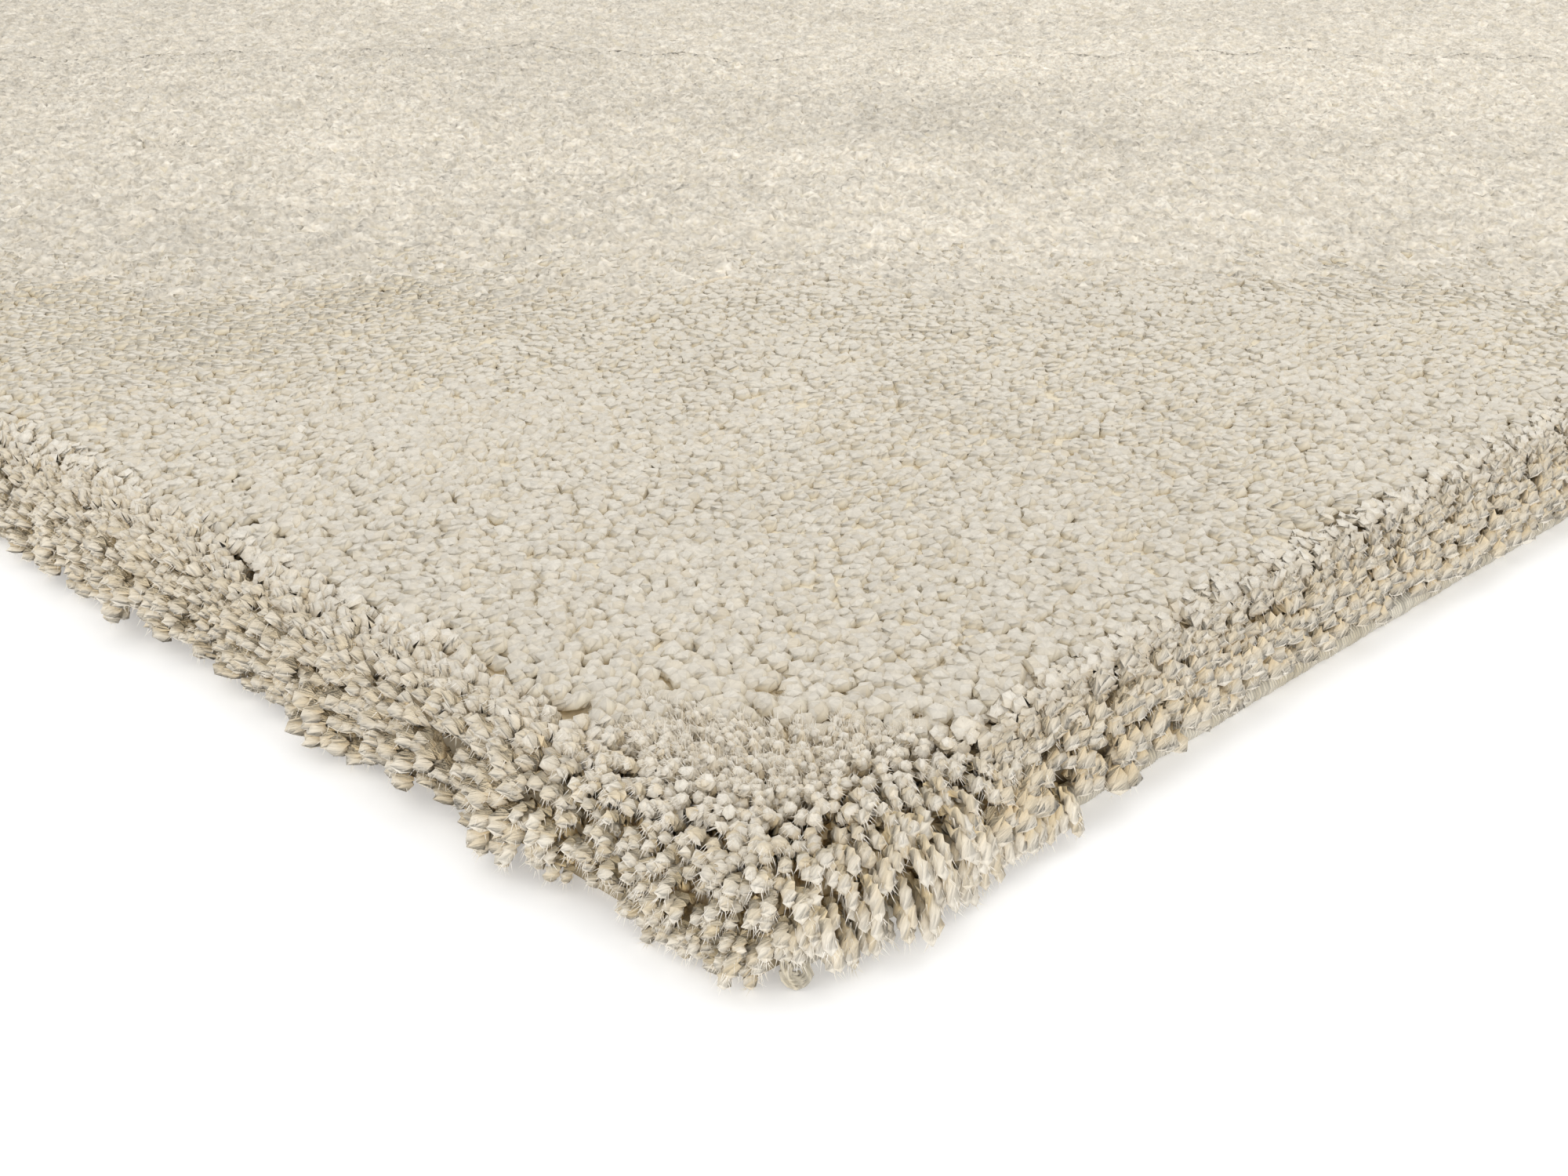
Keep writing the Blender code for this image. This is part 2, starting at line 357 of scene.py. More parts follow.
GROUP_PULL = 0.11             # and to its group's
CLOSE_REACH = 0.11            # round the corner in front the pile is less even,
SPLAY = 0.0060                # and its tips fan out
SPLAY_REACH = 0.080
TIP_SCATTER = 0.0006
TIP_LUMPS = (0.0010, 0.012, 28)
LOWEST_TIP = 0.0034
# Sunken tufts are also painted darker, and sunken peaks of a sheet tan: painted shade in the
# gaps.
SUNKEN_SHARE = 0.13           # of the tufts are shorter, and show as tan gaps
SUNKEN_BY = 0.0015
CORD_END = Vector((0.8030, -1.1465, 0.0050))
CORD_CLEAR = CORD_END.to_2d() + Vector((0.0020, -0.0045))
CORD_END_REACH = 0.0060       # tufts part around the end of the cord, and stay above it
CORD_END_TOP = 0.0088


def rim_facts(x, y):
    """Depth inside the rounded outline, the way out, and how much the rim spreads there."""
    over_x = np.abs(x) - (HALF[0] - OUTLINE_ROUNDING)
    over_y = np.abs(y) - (HALF[1] - OUTLINE_ROUNDING)
    length = np.hypot(np.maximum(over_x, 0), np.maximum(over_y, 0))
    depth = OUTLINE_ROUNDING - length - np.minimum(np.maximum(over_x, over_y), 0)
    pull_x = np.maximum(over_x + PARTING_REACH, 1e-6) ** 4
    pull_y = np.maximum(over_y + PARTING_REACH, 1e-6) ** 4
    size = np.hypot(pull_x, pull_y)
    out_x = pull_x / size * np.sign(x)
    out_y = pull_y / size * np.sign(y)
    side_spread = np.clip((0.100 - HALF[1] + np.abs(y)) / 0.060, 0, 1)
    spread = np.maximum(out_y ** 2, side_spread)
    return depth, out_x, out_y, spread, side_spread * out_x ** 2


def rim_profile():
    """The rim's curve: shares of its length, of its span outwards and of its height."""
    angle = np.linspace(0, math.pi / 2, 240)
    outward = np.sin(angle) ** (2 / RIM_SQUARENESS)
    height = np.clip(np.cos(angle), 0, 1) ** (2 / RIM_SQUARENESS)
    steps = np.hypot(np.diff(outward) * RIM_SPAN, np.diff(height) * RIM_DROP)
    length = np.concatenate([[0], np.cumsum(steps)])
    return length / length[-1], outward, height, length[-1]


RIM_SHARE, RIM_OUTWARD, RIM_HEIGHT, RIM_LENGTH = rim_profile()


def first_depth(out_x):
    """Depth of the outermost roots, on a side or an end."""
    return part_way(END_FIRST, SIDE_FIRST, out_x ** 2)


def fall_at(x, y):
    """How far over a tuft leans, from 0 upright to 1 lying outwards."""
    depth, out_x = rim_facts(x, y)[:2]
    return np.clip((RIM_DEPTH - depth) / (RIM_DEPTH - first_depth(out_x)), 0, 1)


def sunken(count, seed):
    """Which of some tufts are shorter than those about them: 1, or 0."""
    return (np.random.default_rng(seed + 900).random(count) < SUNKEN_SHARE).astype(float)


def field_lean(x, y):
    """How tips lean in the field: slowly, and away from creases, in which they sink."""
    lean = np.array([swells(x, y, (0.0026, 0.055, seed), (0.0030, 0.19, seed + 1))
                     for seed in (21, 23)])
    sink = np.zeros(len(x))
    for crease in CREASES:
        near, across = in_crease(x, y, crease)
        push = crease.push * near * np.sign(across)
        turn = math.radians(crease.turn)
        lean = lean + push * np.array([[-math.sin(turn)], [math.cos(turn)]])
        sink = sink + CREASE_SINK * near
    return lean, sink


def rim_place(x, y, top, fall, dice):
    """How far out a rim's tips move on its curve, and their height."""
    depth, out_x, out_y, spread, over_cord = rim_facts(x, y)
    bulge = 1 + (0.18 + 0.22 * spread) * swell(x, y, 0.036, 25)
    bulge = bulge + (0.10 + 0.25 * spread) * swell(x, y, 0.014, 26)
    reach_out = (part_way(SIDE_OUT, END_OUT, spread) + CORNER_SIDE_OUT * over_cord) * bulge
    upright = (RIM_DEPTH - first_depth(out_x)) / RIM_LENGTH
    share = upright * fall + (1 - upright) * fall ** 2
    share = share + fall * (0.03 * swell(x, y, 0.03, 27) + 0.034 * dice.normal(0, 1, len(x)))
    share = np.clip(share, 0, 1)
    reach_out = reach_out + CORNER_REACH_OUT * np.maximum(-depth, 0)
    out = -RIM_DEPTH + (reach_out + RIM_DEPTH) * np.interp(share, RIM_SHARE, RIM_OUTWARD)
    low = part_way(SIDE_LOW, END_LOW, spread)
    height = part_way(low, top, np.interp(share, RIM_SHARE, RIM_HEIGHT))
    return np.where(fall > 0, np.maximum(out + depth, 0), 0), height


def plant(x, y, seed):
    """Root, bend and tip of each tuft, from where it stands on the true rectangle."""
    dice = np.random.default_rng(seed)
    count = len(x)
    place = np.array([x, y])
    way_out = np.array(rim_facts(x, y)[1:3])
    fall = fall_at(x, y)
    lean, sink = field_lean(x, y)
    splay = SPLAY * np.exp(-(from_front(x, y) / SPLAY_REACH) ** 2) * (1 - fall)
    move, height = rim_place(x, y, top_height(x, y) - sink, fall, dice)
    tip = place + way_out * move + (lean + splay * way_out) * (1 - 0.5 * fall)
    # Tips lean towards the middle of their clump, and of the few tufts that they touch.
    close = np.exp(-(from_front(x, y) / CLOSE_REACH) ** 2)
    field = np.array(nearest_seed(*place, CLUMP_SIZE, 31))
    rim = np.array(nearest_seed(*tip, RIM_CLUMP_SIZE, 32))
    group = np.array(nearest_seed(*tip, TUFT_GROUP, 33))
    pull = (FIELD_PULL + 0.08 * close) * (1 - fall)
    tip = tip + (field - place) * pull + (rim - tip) * RIM_PULL * fall
    tip = tip + (group - tip) * (GROUP_PULL + 0.06 * fall)
    wild = TIP_SCATTER * (1 + 1.4 * fall + 1.2 * close)
    tip = tip + dice.normal(0, 1, tip.shape) * wild
    height = height + dice.normal(0, 1, count) * (0.0005 + 0.0004 * fall + 0.0009 * close)
    height = height + swells(x, y, TIP_LUMPS)
    height = height - SUNKEN_BY * sunken(count, seed) * np.clip(1 - 3 * fall, 0, 1)
    from_cord = np.hypot(tip[0] - CORD_CLEAR.x, tip[1] - CORD_CLEAR.y)
    above = CORD_END_TOP * np.clip(2 * (1 - from_cord / CORD_END_REACH), 0, 1)
    height = np.maximum(height, np.maximum(above, LOWEST_TIP))
    root = np.stack([*lay(x, y), np.full(count, ROOT_HEIGHT)], 1)
    tip = np.stack([*lay(*tip), height], 1)
    return root, arched(root, tip, fall, dice), tip


BEND_SCATTER = 0.0009


def arched(root, tip, fall, dice):
    """Where tufts bend: upright ones low down, and fallen ones high, so that their ends hang."""
    side = np.hypot(tip[:, 0] - root[:, 0], tip[:, 1] - root[:, 1])
    arch = fall ** 0.8
    bend = root + (tip - root) * (0.30 + 0.48 * arch)[:, None]
    standing = root[:, 2] + 0.62 * (tip[:, 2] - root[:, 2]) + 0.50 * side
    hanging = tip[:, 2] + (0.20 + 0.60 * fall) * side
    bend[:, 2] = part_way(standing, hanging, arch)
    bend[:, :2] += dice.normal(0, BEND_SCATTER, (len(root), 2))
    return bend


def front_locks():
    """Root, bend and tip of the tufts that hang round the cord's end in front."""
    dice = np.random.default_rng(44)
    # Beside the end, over the ground cloth's corner.
    share = np.linspace(0, 1, 17)
    beside = np.stack([0.766 + 0.034 * share, -1.1570 + 0.0050 * share ** 2,
                       dice.uniform(0.0015, 0.0055, 17)], 1)
    beside_root = np.stack([np.minimum(beside[:, 0] - 0.004, 0.789), np.full(17, -1.1465)], 1)
    # Over the end, down to its upper rim.
    share = np.linspace(-1, 1, 9)
    over = np.stack([0.8048 + 0.0040 * share, -1.1468 + 0.0038 * share,
                     dice.uniform(0.0092, 0.0125, 9)], 1)
    over_root = np.stack([np.full(9, 0.7890), -1.1400 + 0.0040 * share], 1)
    # Behind the end, over the cord and down to the floor.
    share = np.linspace(0, 1, 40)
    behind = np.stack([0.8085 + dice.uniform(0, 0.0035, 40), -1.1395 + 0.095 * share,
                       dice.uniform(0.0020, 0.0075, 40)], 1)
    behind_root = np.stack([np.full(40, 0.7895), behind[:, 1] + 0.002], 1)
    tip = np.concatenate([beside, over, behind])
    tip = tip + dice.normal(0, 0.0006, tip.shape)
    root = np.concatenate([beside_root, over_root, behind_root])
    root = root + dice.normal(0, 0.0006, root.shape)
    root = np.column_stack([root, np.full(len(root), ROOT_HEIGHT)])
    return root, arched(root, tip, np.ones(len(root)), dice), tip


def planted(x, y, seed, front):
    """Place, root, bend and tip of each tuft, those at the cord's end in front among them."""
    shape = plant(x, y, seed)
    if front:
        more = front_locks()
        shape = [np.concatenate(pair) for pair in zip(shape, more)]
        x = np.concatenate([x, more[0][:, 0]])
        y = np.concatenate([y, more[0][:, 1]])
    return x, y, *shape


# ---------------------------------------------------------------- where each kind of pile is

CORNER_KIND, EDGE_KIND, NEAR_KIND, MIDDLE_KIND, FINE_KIND, MEDIUM_KIND, COARSE_KIND = range(7)
CORNER_REACH = 0.085
CORNER_UNEVEN = 0.020         # how unevenly it gives way to the rest
CORNER_PITCH = 0.54           # of the yarn's pitch, where the fan of tufts opens
CORNER_FILL = 0.030
EDGE_PITCH = 0.64
EDGE_FALL = 0.34              # how fallen the rows are from which the edge's finer tufts start
EDGE_UNEVEN = 0.10
OUTER_PITCH = 0.92
OUTER_FALL = 0.55             # how fallen the rows are that get more tufts
SPOT_JITTER = 0.24


def tile_of(x, y):
    """Column and row of the field's tile that holds a place, and whether there is one."""
    column, row = (np.floor((place + inner) / (2 * inner) * tiles).astype(int)
                   for place, inner, tiles in zip((x, y), INNER, TILES))
    inside = (column >= 0) & (column < TILES[0]) & (row >= 0) & (row < TILES[1])
    return column, row, inside


def seen_from_camera(x, y, margin):
    """Distance ahead of the camera over the floor, and whether a place is in its view."""
    dx, dy = x - CAMERA_PLACE.x, y - CAMERA_PLACE.y
    ahead = dx * AHEAD.x + dy * AHEAD.y
    aside = dx * ASIDE.x + dy * ASIDE.y
    drop = CAMERA_PLACE.z - PILE_HEIGHT
    deep = ahead * math.cos(CAMERA_PITCH) + drop * math.sin(CAMERA_PITCH)
    below = drop * math.cos(CAMERA_PITCH) - ahead * math.sin(CAMERA_PITCH)
    half_wide = SENSOR / 2 / LENS
    half_high = half_wide * PHOTO_SIZE[1] / PHOTO_SIZE[0]
    seen = (np.abs(aside) < deep * half_wide + margin) & (-below < deep * half_high + margin)
    return ahead, seen


def kind_at(x, y):
    """Which kind of pile covers a place in the field."""
    ahead, seen = seen_from_camera(x, y, VIEW_MARGIN)
    ends = (NEAR_TUFTS_END, MIDDLE_TUFTS_END, FINE_SHEET_END)
    kind = NEAR_KIND + np.searchsorted(ends, ahead + UNEVEN_END * swell(x, y, 0.10, 14))
    return np.where(seen, kind, COARSE_KIND)


def tile_kinds():
    """The kind of pile of each tile. No two tiles of a kind touch at a corner alone, where a
    sheet would not be closed."""
    xs, ys = ((np.arange(tiles) + 0.5) / tiles * 2 * inner - inner
              for tiles, inner in zip(TILES, INNER))
    kinds = kind_at(*np.meshgrid(xs, ys, indexing="ij"))
    changed = True
    while changed:
        changed = False
        for i in range(TILES[0] - 1):
            for j in range(TILES[1] - 1):
                (a, c), (b, d) = kinds[i:i + 2, j:j + 2]
                if (a == d and b != a and c != a) or (b == c and a != b and d != b):
                    kinds[i:i + 2, j:j + 2] = max(a, b, c, d)
                    changed = True
    return kinds


TILE_KINDS = tile_kinds()


def kind_of_spots(x, y):
    """The kind of each spot: its tile's in the field, and its own place's in the rim."""
    column, row, inside = tile_of(x, y)
    safe_column = np.clip(column, 0, TILES[0] - 1)
    safe_row = np.clip(row, 0, TILES[1] - 1)
    ahead, seen = seen_from_camera(x, y, VIEW_MARGIN)
    leaning = fall_at(x, y) > EDGE_FALL + EDGE_UNEVEN * swell(x, y, 0.008, 19)
    standing = np.where(ahead < NEAR_TUFTS_END, NEAR_KIND, MIDDLE_KIND)
    own = np.where(leaning, EDGE_KIND, standing)
    own = np.where(seen & (ahead < NEAR_RIM_END), own, COARSE_KIND)
    kind = np.where(inside, TILE_KINDS[safe_column, safe_row], own)
    beyond = np.clip((ahead - MIDDLE_TUFTS_END) / STRAY_REACH, 0, 1)
    stray = np.random.default_rng(16).random(x.shape) > 0.25 + 0.75 * beyond
    kind = np.where((kind == FINE_KIND) & stray, MIDDLE_KIND, kind)
    edge = CORNER_REACH + CORNER_UNEVEN * swell(x, y, 0.006, 15)
    return np.where((kind != COARSE_KIND) & (from_front(x, y) < edge), CORNER_KIND, kind)


def spots(pitch, seed):
    """Places of tufts over the whole rug: a jittered triangular lattice."""
    row_height = pitch * math.sqrt(3) / 2
    rows = int(RUG_LENGTH / row_height)
    columns = int(RUG_WIDTH / pitch)
    row, column = np.meshgrid(np.arange(rows), np.arange(columns), indexing="ij")
    x = (column + 0.5 + 0.5 * (row % 2)) * pitch - HALF[0]
    y = (row + 0.5) * row_height - HALF[1]
    dice = np.random.default_rng(seed)
    x = x.ravel() + dice.uniform(-SPOT_JITTER, SPOT_JITTER, x.size) * pitch
    y = y.ravel() + dice.uniform(-SPOT_JITTER, SPOT_JITTER, y.size) * pitch
    inside = (np.abs(x) < HALF[0] - SIDE_FIRST) & (np.abs(y) < HALF[1] - END_FIRST)
    return x[inside], y[inside]


def corner_spots(pitch):
    """More places in the corner in front, where the tufts fan out most."""
    x, y = spots(pitch, 43)
    close = (np.abs(x - CORNER[0]) < CORNER_FILL) & (np.abs(y - CORNER[1]) < CORNER_FILL)
    return x[close], y[close]


def outer_spots(pitch):
    """More places along the outermost rows, which fan out."""
    x, y = spots(pitch * OUTER_PITCH, 45)
    outer = (fall_at(x, y) > OUTER_FALL) & (kind_of_spots(x, y) == EDGE_KIND)
    return x[outer], y[outer]


# ---------------------------------------------------------------- nodes

class Nodes:
    """Adds nodes to a tree."""

    def __init__(self, tree):
        self.tree = tree

    def add(self, kind, inputs=None, **named):
        """Add a node. Names in small letters are its settings, and the others its inputs: each
        is a value, a socket, or a node that gives its first output."""
        made = self.tree.nodes.new(kind)
        inputs = dict(inputs or {})
        for name, value in named.items():
            if name.islower():
                setattr(made, name, value)
            else:
                inputs[name.replace("_", " ")] = value
        for key, value in inputs.items():
            if isinstance(value, bpy.types.Node):
                value = value.outputs[0]
            if isinstance(value, bpy.types.NodeSocket):
                self.tree.links.new(value, made.inputs[key])
            else:
                made.inputs[key].default_value = value
        return made

    def geo(self, kind, inputs=None, **named):
        return self.add("GeometryNode" + kind, inputs, **named)

    def calc(self, operation, *values, **settings):
        """One step of arithmetic."""
        return self.add("ShaderNodeMath", dict(enumerate(values)), operation=operation,
                        **settings).outputs[0]

    def plus(self, first, second):
        return self.calc("ADD", first, second)

    def minus(self, first, second):
        return self.calc("SUBTRACT", first, second)

    def times(self, first, *others):
        for value in others:
            first = self.calc("MULTIPLY", first, value)
        return first

    def vector(self, operation, *values):
        """One step of vector arithmetic."""
        return self.add("ShaderNodeVectorMath", dict(enumerate(values)),
                        operation=operation).outputs[0]

    def scaled(self, vector, factor):
        return self.add("ShaderNodeVectorMath", {0: vector, "Scale": factor},
                        operation="SCALE").outputs[0]

    def xyz(self, *values):
        return self.add("ShaderNodeCombineXYZ", dict(enumerate(values))).outputs[0]

    def split(self, vector):
        return self.add("ShaderNodeSeparateXYZ", {0: vector}).outputs

    def ramp(self, value, low, high, to_low=0.0, to_high=1.0, kind="SMOOTHSTEP"):
        return self.add("ShaderNodeMapRange", Value=value, From_Min=low, From_Max=high,
                        To_Min=to_low, To_Max=to_high, interpolation_type=kind).outputs[0]

    def blend(self, factor, first, second):
        """A colour between two."""
        return self.add("ShaderNodeMix", {0: factor, 6: first, 7: second},
                        data_type="RGBA").outputs[2]

    def noise(self, vector, scale, detail, **named):
        return self.add("ShaderNodeTexNoise", Vector=vector, Scale=scale, Detail=detail, **named)

    def place(self):
        return self.add("ShaderNodeTexCoord").outputs["Object"]

    def painted(self, name):
        """A number that a shader reads from the mesh."""
        return self.add("ShaderNodeAttribute", attribute_name=name).outputs["Fac"]

    def finish(self, colour, strength=0.0, distance=0.0, height=None):
        """Give the shader its colour, and its bump if there is one."""
        shader = self.tree.nodes["Principled BSDF"]
        self.tree.links.new(colour, shader.inputs["Base Color"])
        if height:
            bump = self.add("ShaderNodeBump", Strength=strength, Distance=distance,
                            Height=height)
            self.tree.links.new(bump.outputs[0], shader.inputs["Normal"])

    def named(self, name, kind="FLOAT"):
        """Numbers that a geometry tree reads from the mesh."""
        return self.geo("InputNamedAttribute", Name=name, data_type=kind).outputs[0]

    def store(self, geometry, name, value, kind="FLOAT", domain="POINT"):
        return self.geo("StoreNamedAttribute", Geometry=geometry, Name=name, Value=value,
                        data_type=kind, domain=domain)


def new_finish(name, roughness):
    """A material, its nodes and its shader."""
    material = bpy.data.materials.new(name)
    material.use_nodes = True
    shader = material.node_tree.nodes["Principled BSDF"]
    shader.inputs["Roughness"].default_value = roughness
    return material, Nodes(material.node_tree), shader


# ---------------------------------------------------------------- finishes

# Yarn in the open corner, on the rims and in the field: its painted shade, a darker and warmer
# colour that stands in for the shade among the tufts and the warm light scattered into it; where
# along a tuft that painted shade starts to fade and ends; how brushed its tip is, lighter with a
# painted highlight; how light it is painted, as painted light and shade: lighter in the corner
# and on the rims, darker in the open field;
# how much of the first ply may be beige; and how strong the bump of its fibres is.
Look = namedtuple("Look", "shade shade_start shade_end brush strength mixed fuzz")
LOOKS = {
    "open_yarn": Look("shade", 0.45, 0.95, 0.45, 1.09, 0.95, 0.32),
    "rim_yarn": Look("rim_shade", 0.66, 0.97, 0.38, 1.05, 0.70, 0.65),
    "field_yarn": Look("field_shade", 0.84, 0.975, 0.12, 0.90, 0.60, 0.20),
}


def soft_finish(name, settings):
    """The dull face and the soft sheen of brushed yarn."""
    material, n, shader = new_finish(name, 0.88)
    shader.inputs["Specular IOR Level"].default_value = 0.18
    shader.inputs["Sheen Weight"].default_value = settings.sheen
    shader.inputs["Sheen Roughness"].default_value = 0.45
    shader.inputs["Sheen Tint"].default_value = (1.0, 0.93, 0.80, 1.0)
    return material, n


def yarn_finish(name, settings):
    """Twisted two-ply yarn on a tuft's own map: round it on U and root to tip on V. Painted
    shade darkens it towards its root, and a painted highlight lightens its tip.
    """
    look = LOOKS[name]
    material, n = soft_finish(name, settings)
    apart = n.split(n.add("ShaderNodeUVMap", uv_map="OFBake"))
    wide = n.times(apart[0], float(SKIN_COLUMNS))
    high = n.times(apart[1], float(SKIN_ROWS))
    row = n.calc("FLOOR", high)
    along = n.calc("FRACT", high)
    cell = n.xyz(n.calc("FLOOR", wide), row)
    chance = n.add("ShaderNodeTexWhiteNoise", {0: cell}, noise_dimensions="3D")
    chances = n.add("ShaderNodeSeparateColor", {0: chance.outputs[1]}).outputs
    first = n.blend(n.times(chances[0], look.mixed), settings.cream, settings.beige)
    second = n.blend(chances[1], settings.cream, settings.greige)
    angle = n.times(n.calc("FRACT", wide), math.tau)
    wave = n.calc("COSINE", angle)
    colour = n.blend(n.ramp(wave, -0.35, 0.35), first, second)
    # Fibres, drawn out along the ply and seamless round it.
    spot = n.xyz(wave, n.calc("SINE", angle), n.times(along, 5.0))
    moved = n.vector("ADD", spot, n.scaled(cell, 7.31))
    fibre = n.noise(moved, 2.6, 3.0, Roughness=0.62)
    streak = n.ramp(fibre, 0.25, 0.75, 0.86, 1.08)
    plies = n.ramp(n.calc("ABSOLUTE", wave), 0.0, 0.55, settings.ply_shadow, 1.0)
    # A tuft's row of the map sets its tone: painted light and shade from where it lies, and a
    # random scatter.
    tone = n.ramp(row, 0.0, SKIN_ROWS - 1.0, 1 - settings.tone_range, 1 + settings.tone_range,
                  kind="LINEAR")
    own_tone = n.ramp(chances[2], 0.0, 1.0, 0.96 * look.strength, 1.04 * look.strength,
                      kind="LINEAR")
    colour = n.scaled(colour, n.times(n.times(streak, plies), n.times(tone, own_tone)))
    # Painted shade: towards its root a tuft turns to its look's shade colour, where the tufts
    # shade each other.
    above_shade = n.ramp(along, look.shade_start, look.shade_end)
    colour = n.blend(above_shade, getattr(settings, look.shade), colour)
    # Lighter at the cut tip: brushed fibre, and a painted highlight where the tips catch the
    # light.
    colour = n.blend(n.ramp(along, 0.90, 0.99, 0.0, look.brush), colour, settings.fibre)
    n.finish(colour, look.fuzz, 0.0010, fibre)
    return material


def packed_finish(name, settings):
    """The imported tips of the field, on the sheets that stand for thousands of tufts."""
    material, n = soft_finish(name, settings)
    place = n.place()
    grain = n.noise(place, 310.0, 1.0)
    fine = n.noise(place, 200.0, 1.0)
    clumps = n.noise(place, 75.0, 2.0)
    darker = n.blend(0.8, settings.beige, settings.greige)
    colour = n.blend(n.painted("tint"), settings.cream, darker)
    mottle = n.times(n.ramp(grain, 0.3, 0.7, 0.88, 1.12), n.ramp(clumps, 0.3, 0.7, 0.94, 1.06))
    # The mesh's tone carries painted light and shade from the lie of the pile, and a random
    # scatter.
    colour = n.scaled(colour, n.times(mottle, n.painted("tone")))
    # Painted shade in the valleys and on sunken peaks.
    deep = n.ramp(n.painted("low"), 0.25, 1.0, 0.0, 0.90)
    n.finish(n.blend(deep, colour, settings.field_shade), 0.5, 0.0012, n.plus(grain, fine))
    return material


def bed_finish(name, settings):
    """The shaded roots of the pile, seen only between tufts."""
    material, n, shader = new_finish(name, 0.95)
    fleck = n.ramp(n.noise(n.place(), 420.0, 2.0), 0.35, 0.7, 0.0, 0.35)
    # Painted shade: deeper and warmer in the open corner, lighter in the field and on the rim.
    roots = n.blend(n.painted("raised"), settings.shade, settings.field_shade)
    n.finish(n.blend(fleck, roots, settings.beige))
    return material


def fibre_finish(name, settings):
    """Single brushed fibres, almost white."""
    material, n = soft_finish(name, settings)
    patch = n.ramp(n.noise(n.place(), 240.0, 0.0), 0.35, 0.65)
    n.finish(n.blend(patch, settings.fibre, settings.cream))
    return material


def thread_finish(name, settings):
    """Whipping thread wound over the cord: fine turns and odd shaded bundles."""
    material, n, shader = new_finish(name, 0.72)
    shader.inputs["Sheen Weight"].default_value = 0.25
    place = n.place()
    apart = n.split(place)
    along = n.times(apart[1], 1.0 / 0.0007)
    slant = n.times(apart[2], 260.0)
    turns = n.calc("SINE", n.times(n.plus(along, slant), 3.14))
    bundles = n.add("ShaderNodeTexNoise", W=n.times(apart[1], 330.0), Scale=1.0, Detail=1.0,
                    noise_dimensions="1D")
    patch = n.ramp(n.noise(place, 60.0, 2.0), 0.3, 0.7)
    colour = n.blend(patch, settings.thread, settings.thread_light)
    # Painted shade in the grooves between the turns of thread; odd bundles are darker as well.
    light = n.times(n.ramp(turns, -1.0, 1.0, 0.78, 1.06),
                    n.ramp(bundles, 0.32, 0.55, 0.72, 1.0))
    n.finish(n.scaled(colour, light), 0.6, 0.0003, turns)
    return material


def cloth_finish(name, settings):
    """The coarse plain weave of the ground cloth."""
    material, n, shader = new_finish(name, 0.9)
    place = n.place()
    apart = n.split(place)
    warp = n.calc("SINE", n.times(apart[0], math.pi / 0.0022))
    weft = n.calc("SINE", n.times(apart[1], math.pi / 0.0026))
    weave = n.times(warp, weft)
    slub = n.ramp(n.noise(place, 90.0, 3.0), 0.3, 0.7)
    colour = n.blend(slub, settings.cloth, settings.cloth_light)
    n.finish(n.scaled(colour, n.ramp(weave, -1.0, 1.0, 0.68, 1.05)), 0.7, 0.0006, weave)
    return material


FINISH_MAKERS = {
    "open_yarn": yarn_finish, "rim_yarn": yarn_finish, "field_yarn": yarn_finish,
    "brushed_fibre": fibre_finish, "packed_yarn": packed_finish, "pile_roots": bed_finish,
    "wound_thread": thread_finish, "woven_ground": cloth_finish,
}
EDGE_FINISHES = ("wound_thread", "woven_ground")


def finish_named(name):
    """A finish, made when it is first asked for."""
    scene = bpy.context.scene
    settings = scene.rug_edges if name in EDGE_FINISHES else scene.rug_yarn
    return bpy.data.materials.get(name) or FINISH_MAKERS[name](name, settings)


# ---------------------------------------------------------------- geometry nodes

def new_tree(name, counts, amounts):
    """A geometry tree with its named inputs: its nodes, and what the inputs give."""
    tree = bpy.data.node_groups.new(name, "GeometryNodeTree")
    kinds = [("Geometry", "Geometry")]
    kinds += [(label, "Int") for label in counts] + [(label, "Float") for label in amounts]
    for label, kind in kinds + [("Material", "Material")]:
        tree.interface.new_socket(label, in_out="INPUT", socket_type="NodeSocket" + kind)
    tree.interface.new_socket("Geometry", in_out="OUTPUT", socket_type="NodeSocketGeometry")
    n = Nodes(tree)
    return n, n.add("NodeGroupInput").outputs


def end_tree(n, ask, skin):
    """Make a tree's instances real, and give its skin the material."""
    skin = n.geo("RealizeInstances", {0: skin})
    skin = n.geo("SetMaterial", Geometry=skin, Material=ask["Material"])
    n.add("NodeGroupOutput", {0: skin})
    return n.tree


# Width of a tuft along it, from its first part to its tip, as a share of its girth: of a free
# strand with a brushed end, and of a packed tuft that narrows towards its tip.
STRAND_PROFILE = ((0.0, 0.0), (0.03, 0.66), (0.55, 0.78), (0.84, 0.98), (0.95, 0.80), (1.0, 0.0))
PACKED_PROFILE = ((0.0, 0.0), (0.03, 1.0), (0.39, 1.02), (0.69, 0.90), (0.905, 0.58), (1.0, 0.0))
FLOOR_CLEAR = 0.0004


def width_along(n, share, profile):
    """A curve node that gives a tuft's width."""
    node = n.add("ShaderNodeFloatCurve", Value=share)
    curve = node.mapping.curves[0]
    curve.points[0].location = profile[0]
    curve.points[1].location = profile[-1]
    for x, y in profile[1:-1]:
        curve.points.new(x, y)
    node.mapping.clip_max_y = 1.1
    node.mapping.update()
    return node.outputs[0]


def in_cell(n, cell, share, cells):
    """A place on the yarn's map: a share of the way across its cell."""
    inside = n.calc("MULTIPLY_ADD", share, 0.96, 0.02)
    return n.calc("DIVIDE", n.plus(n.named(cell), inside), float(cells))


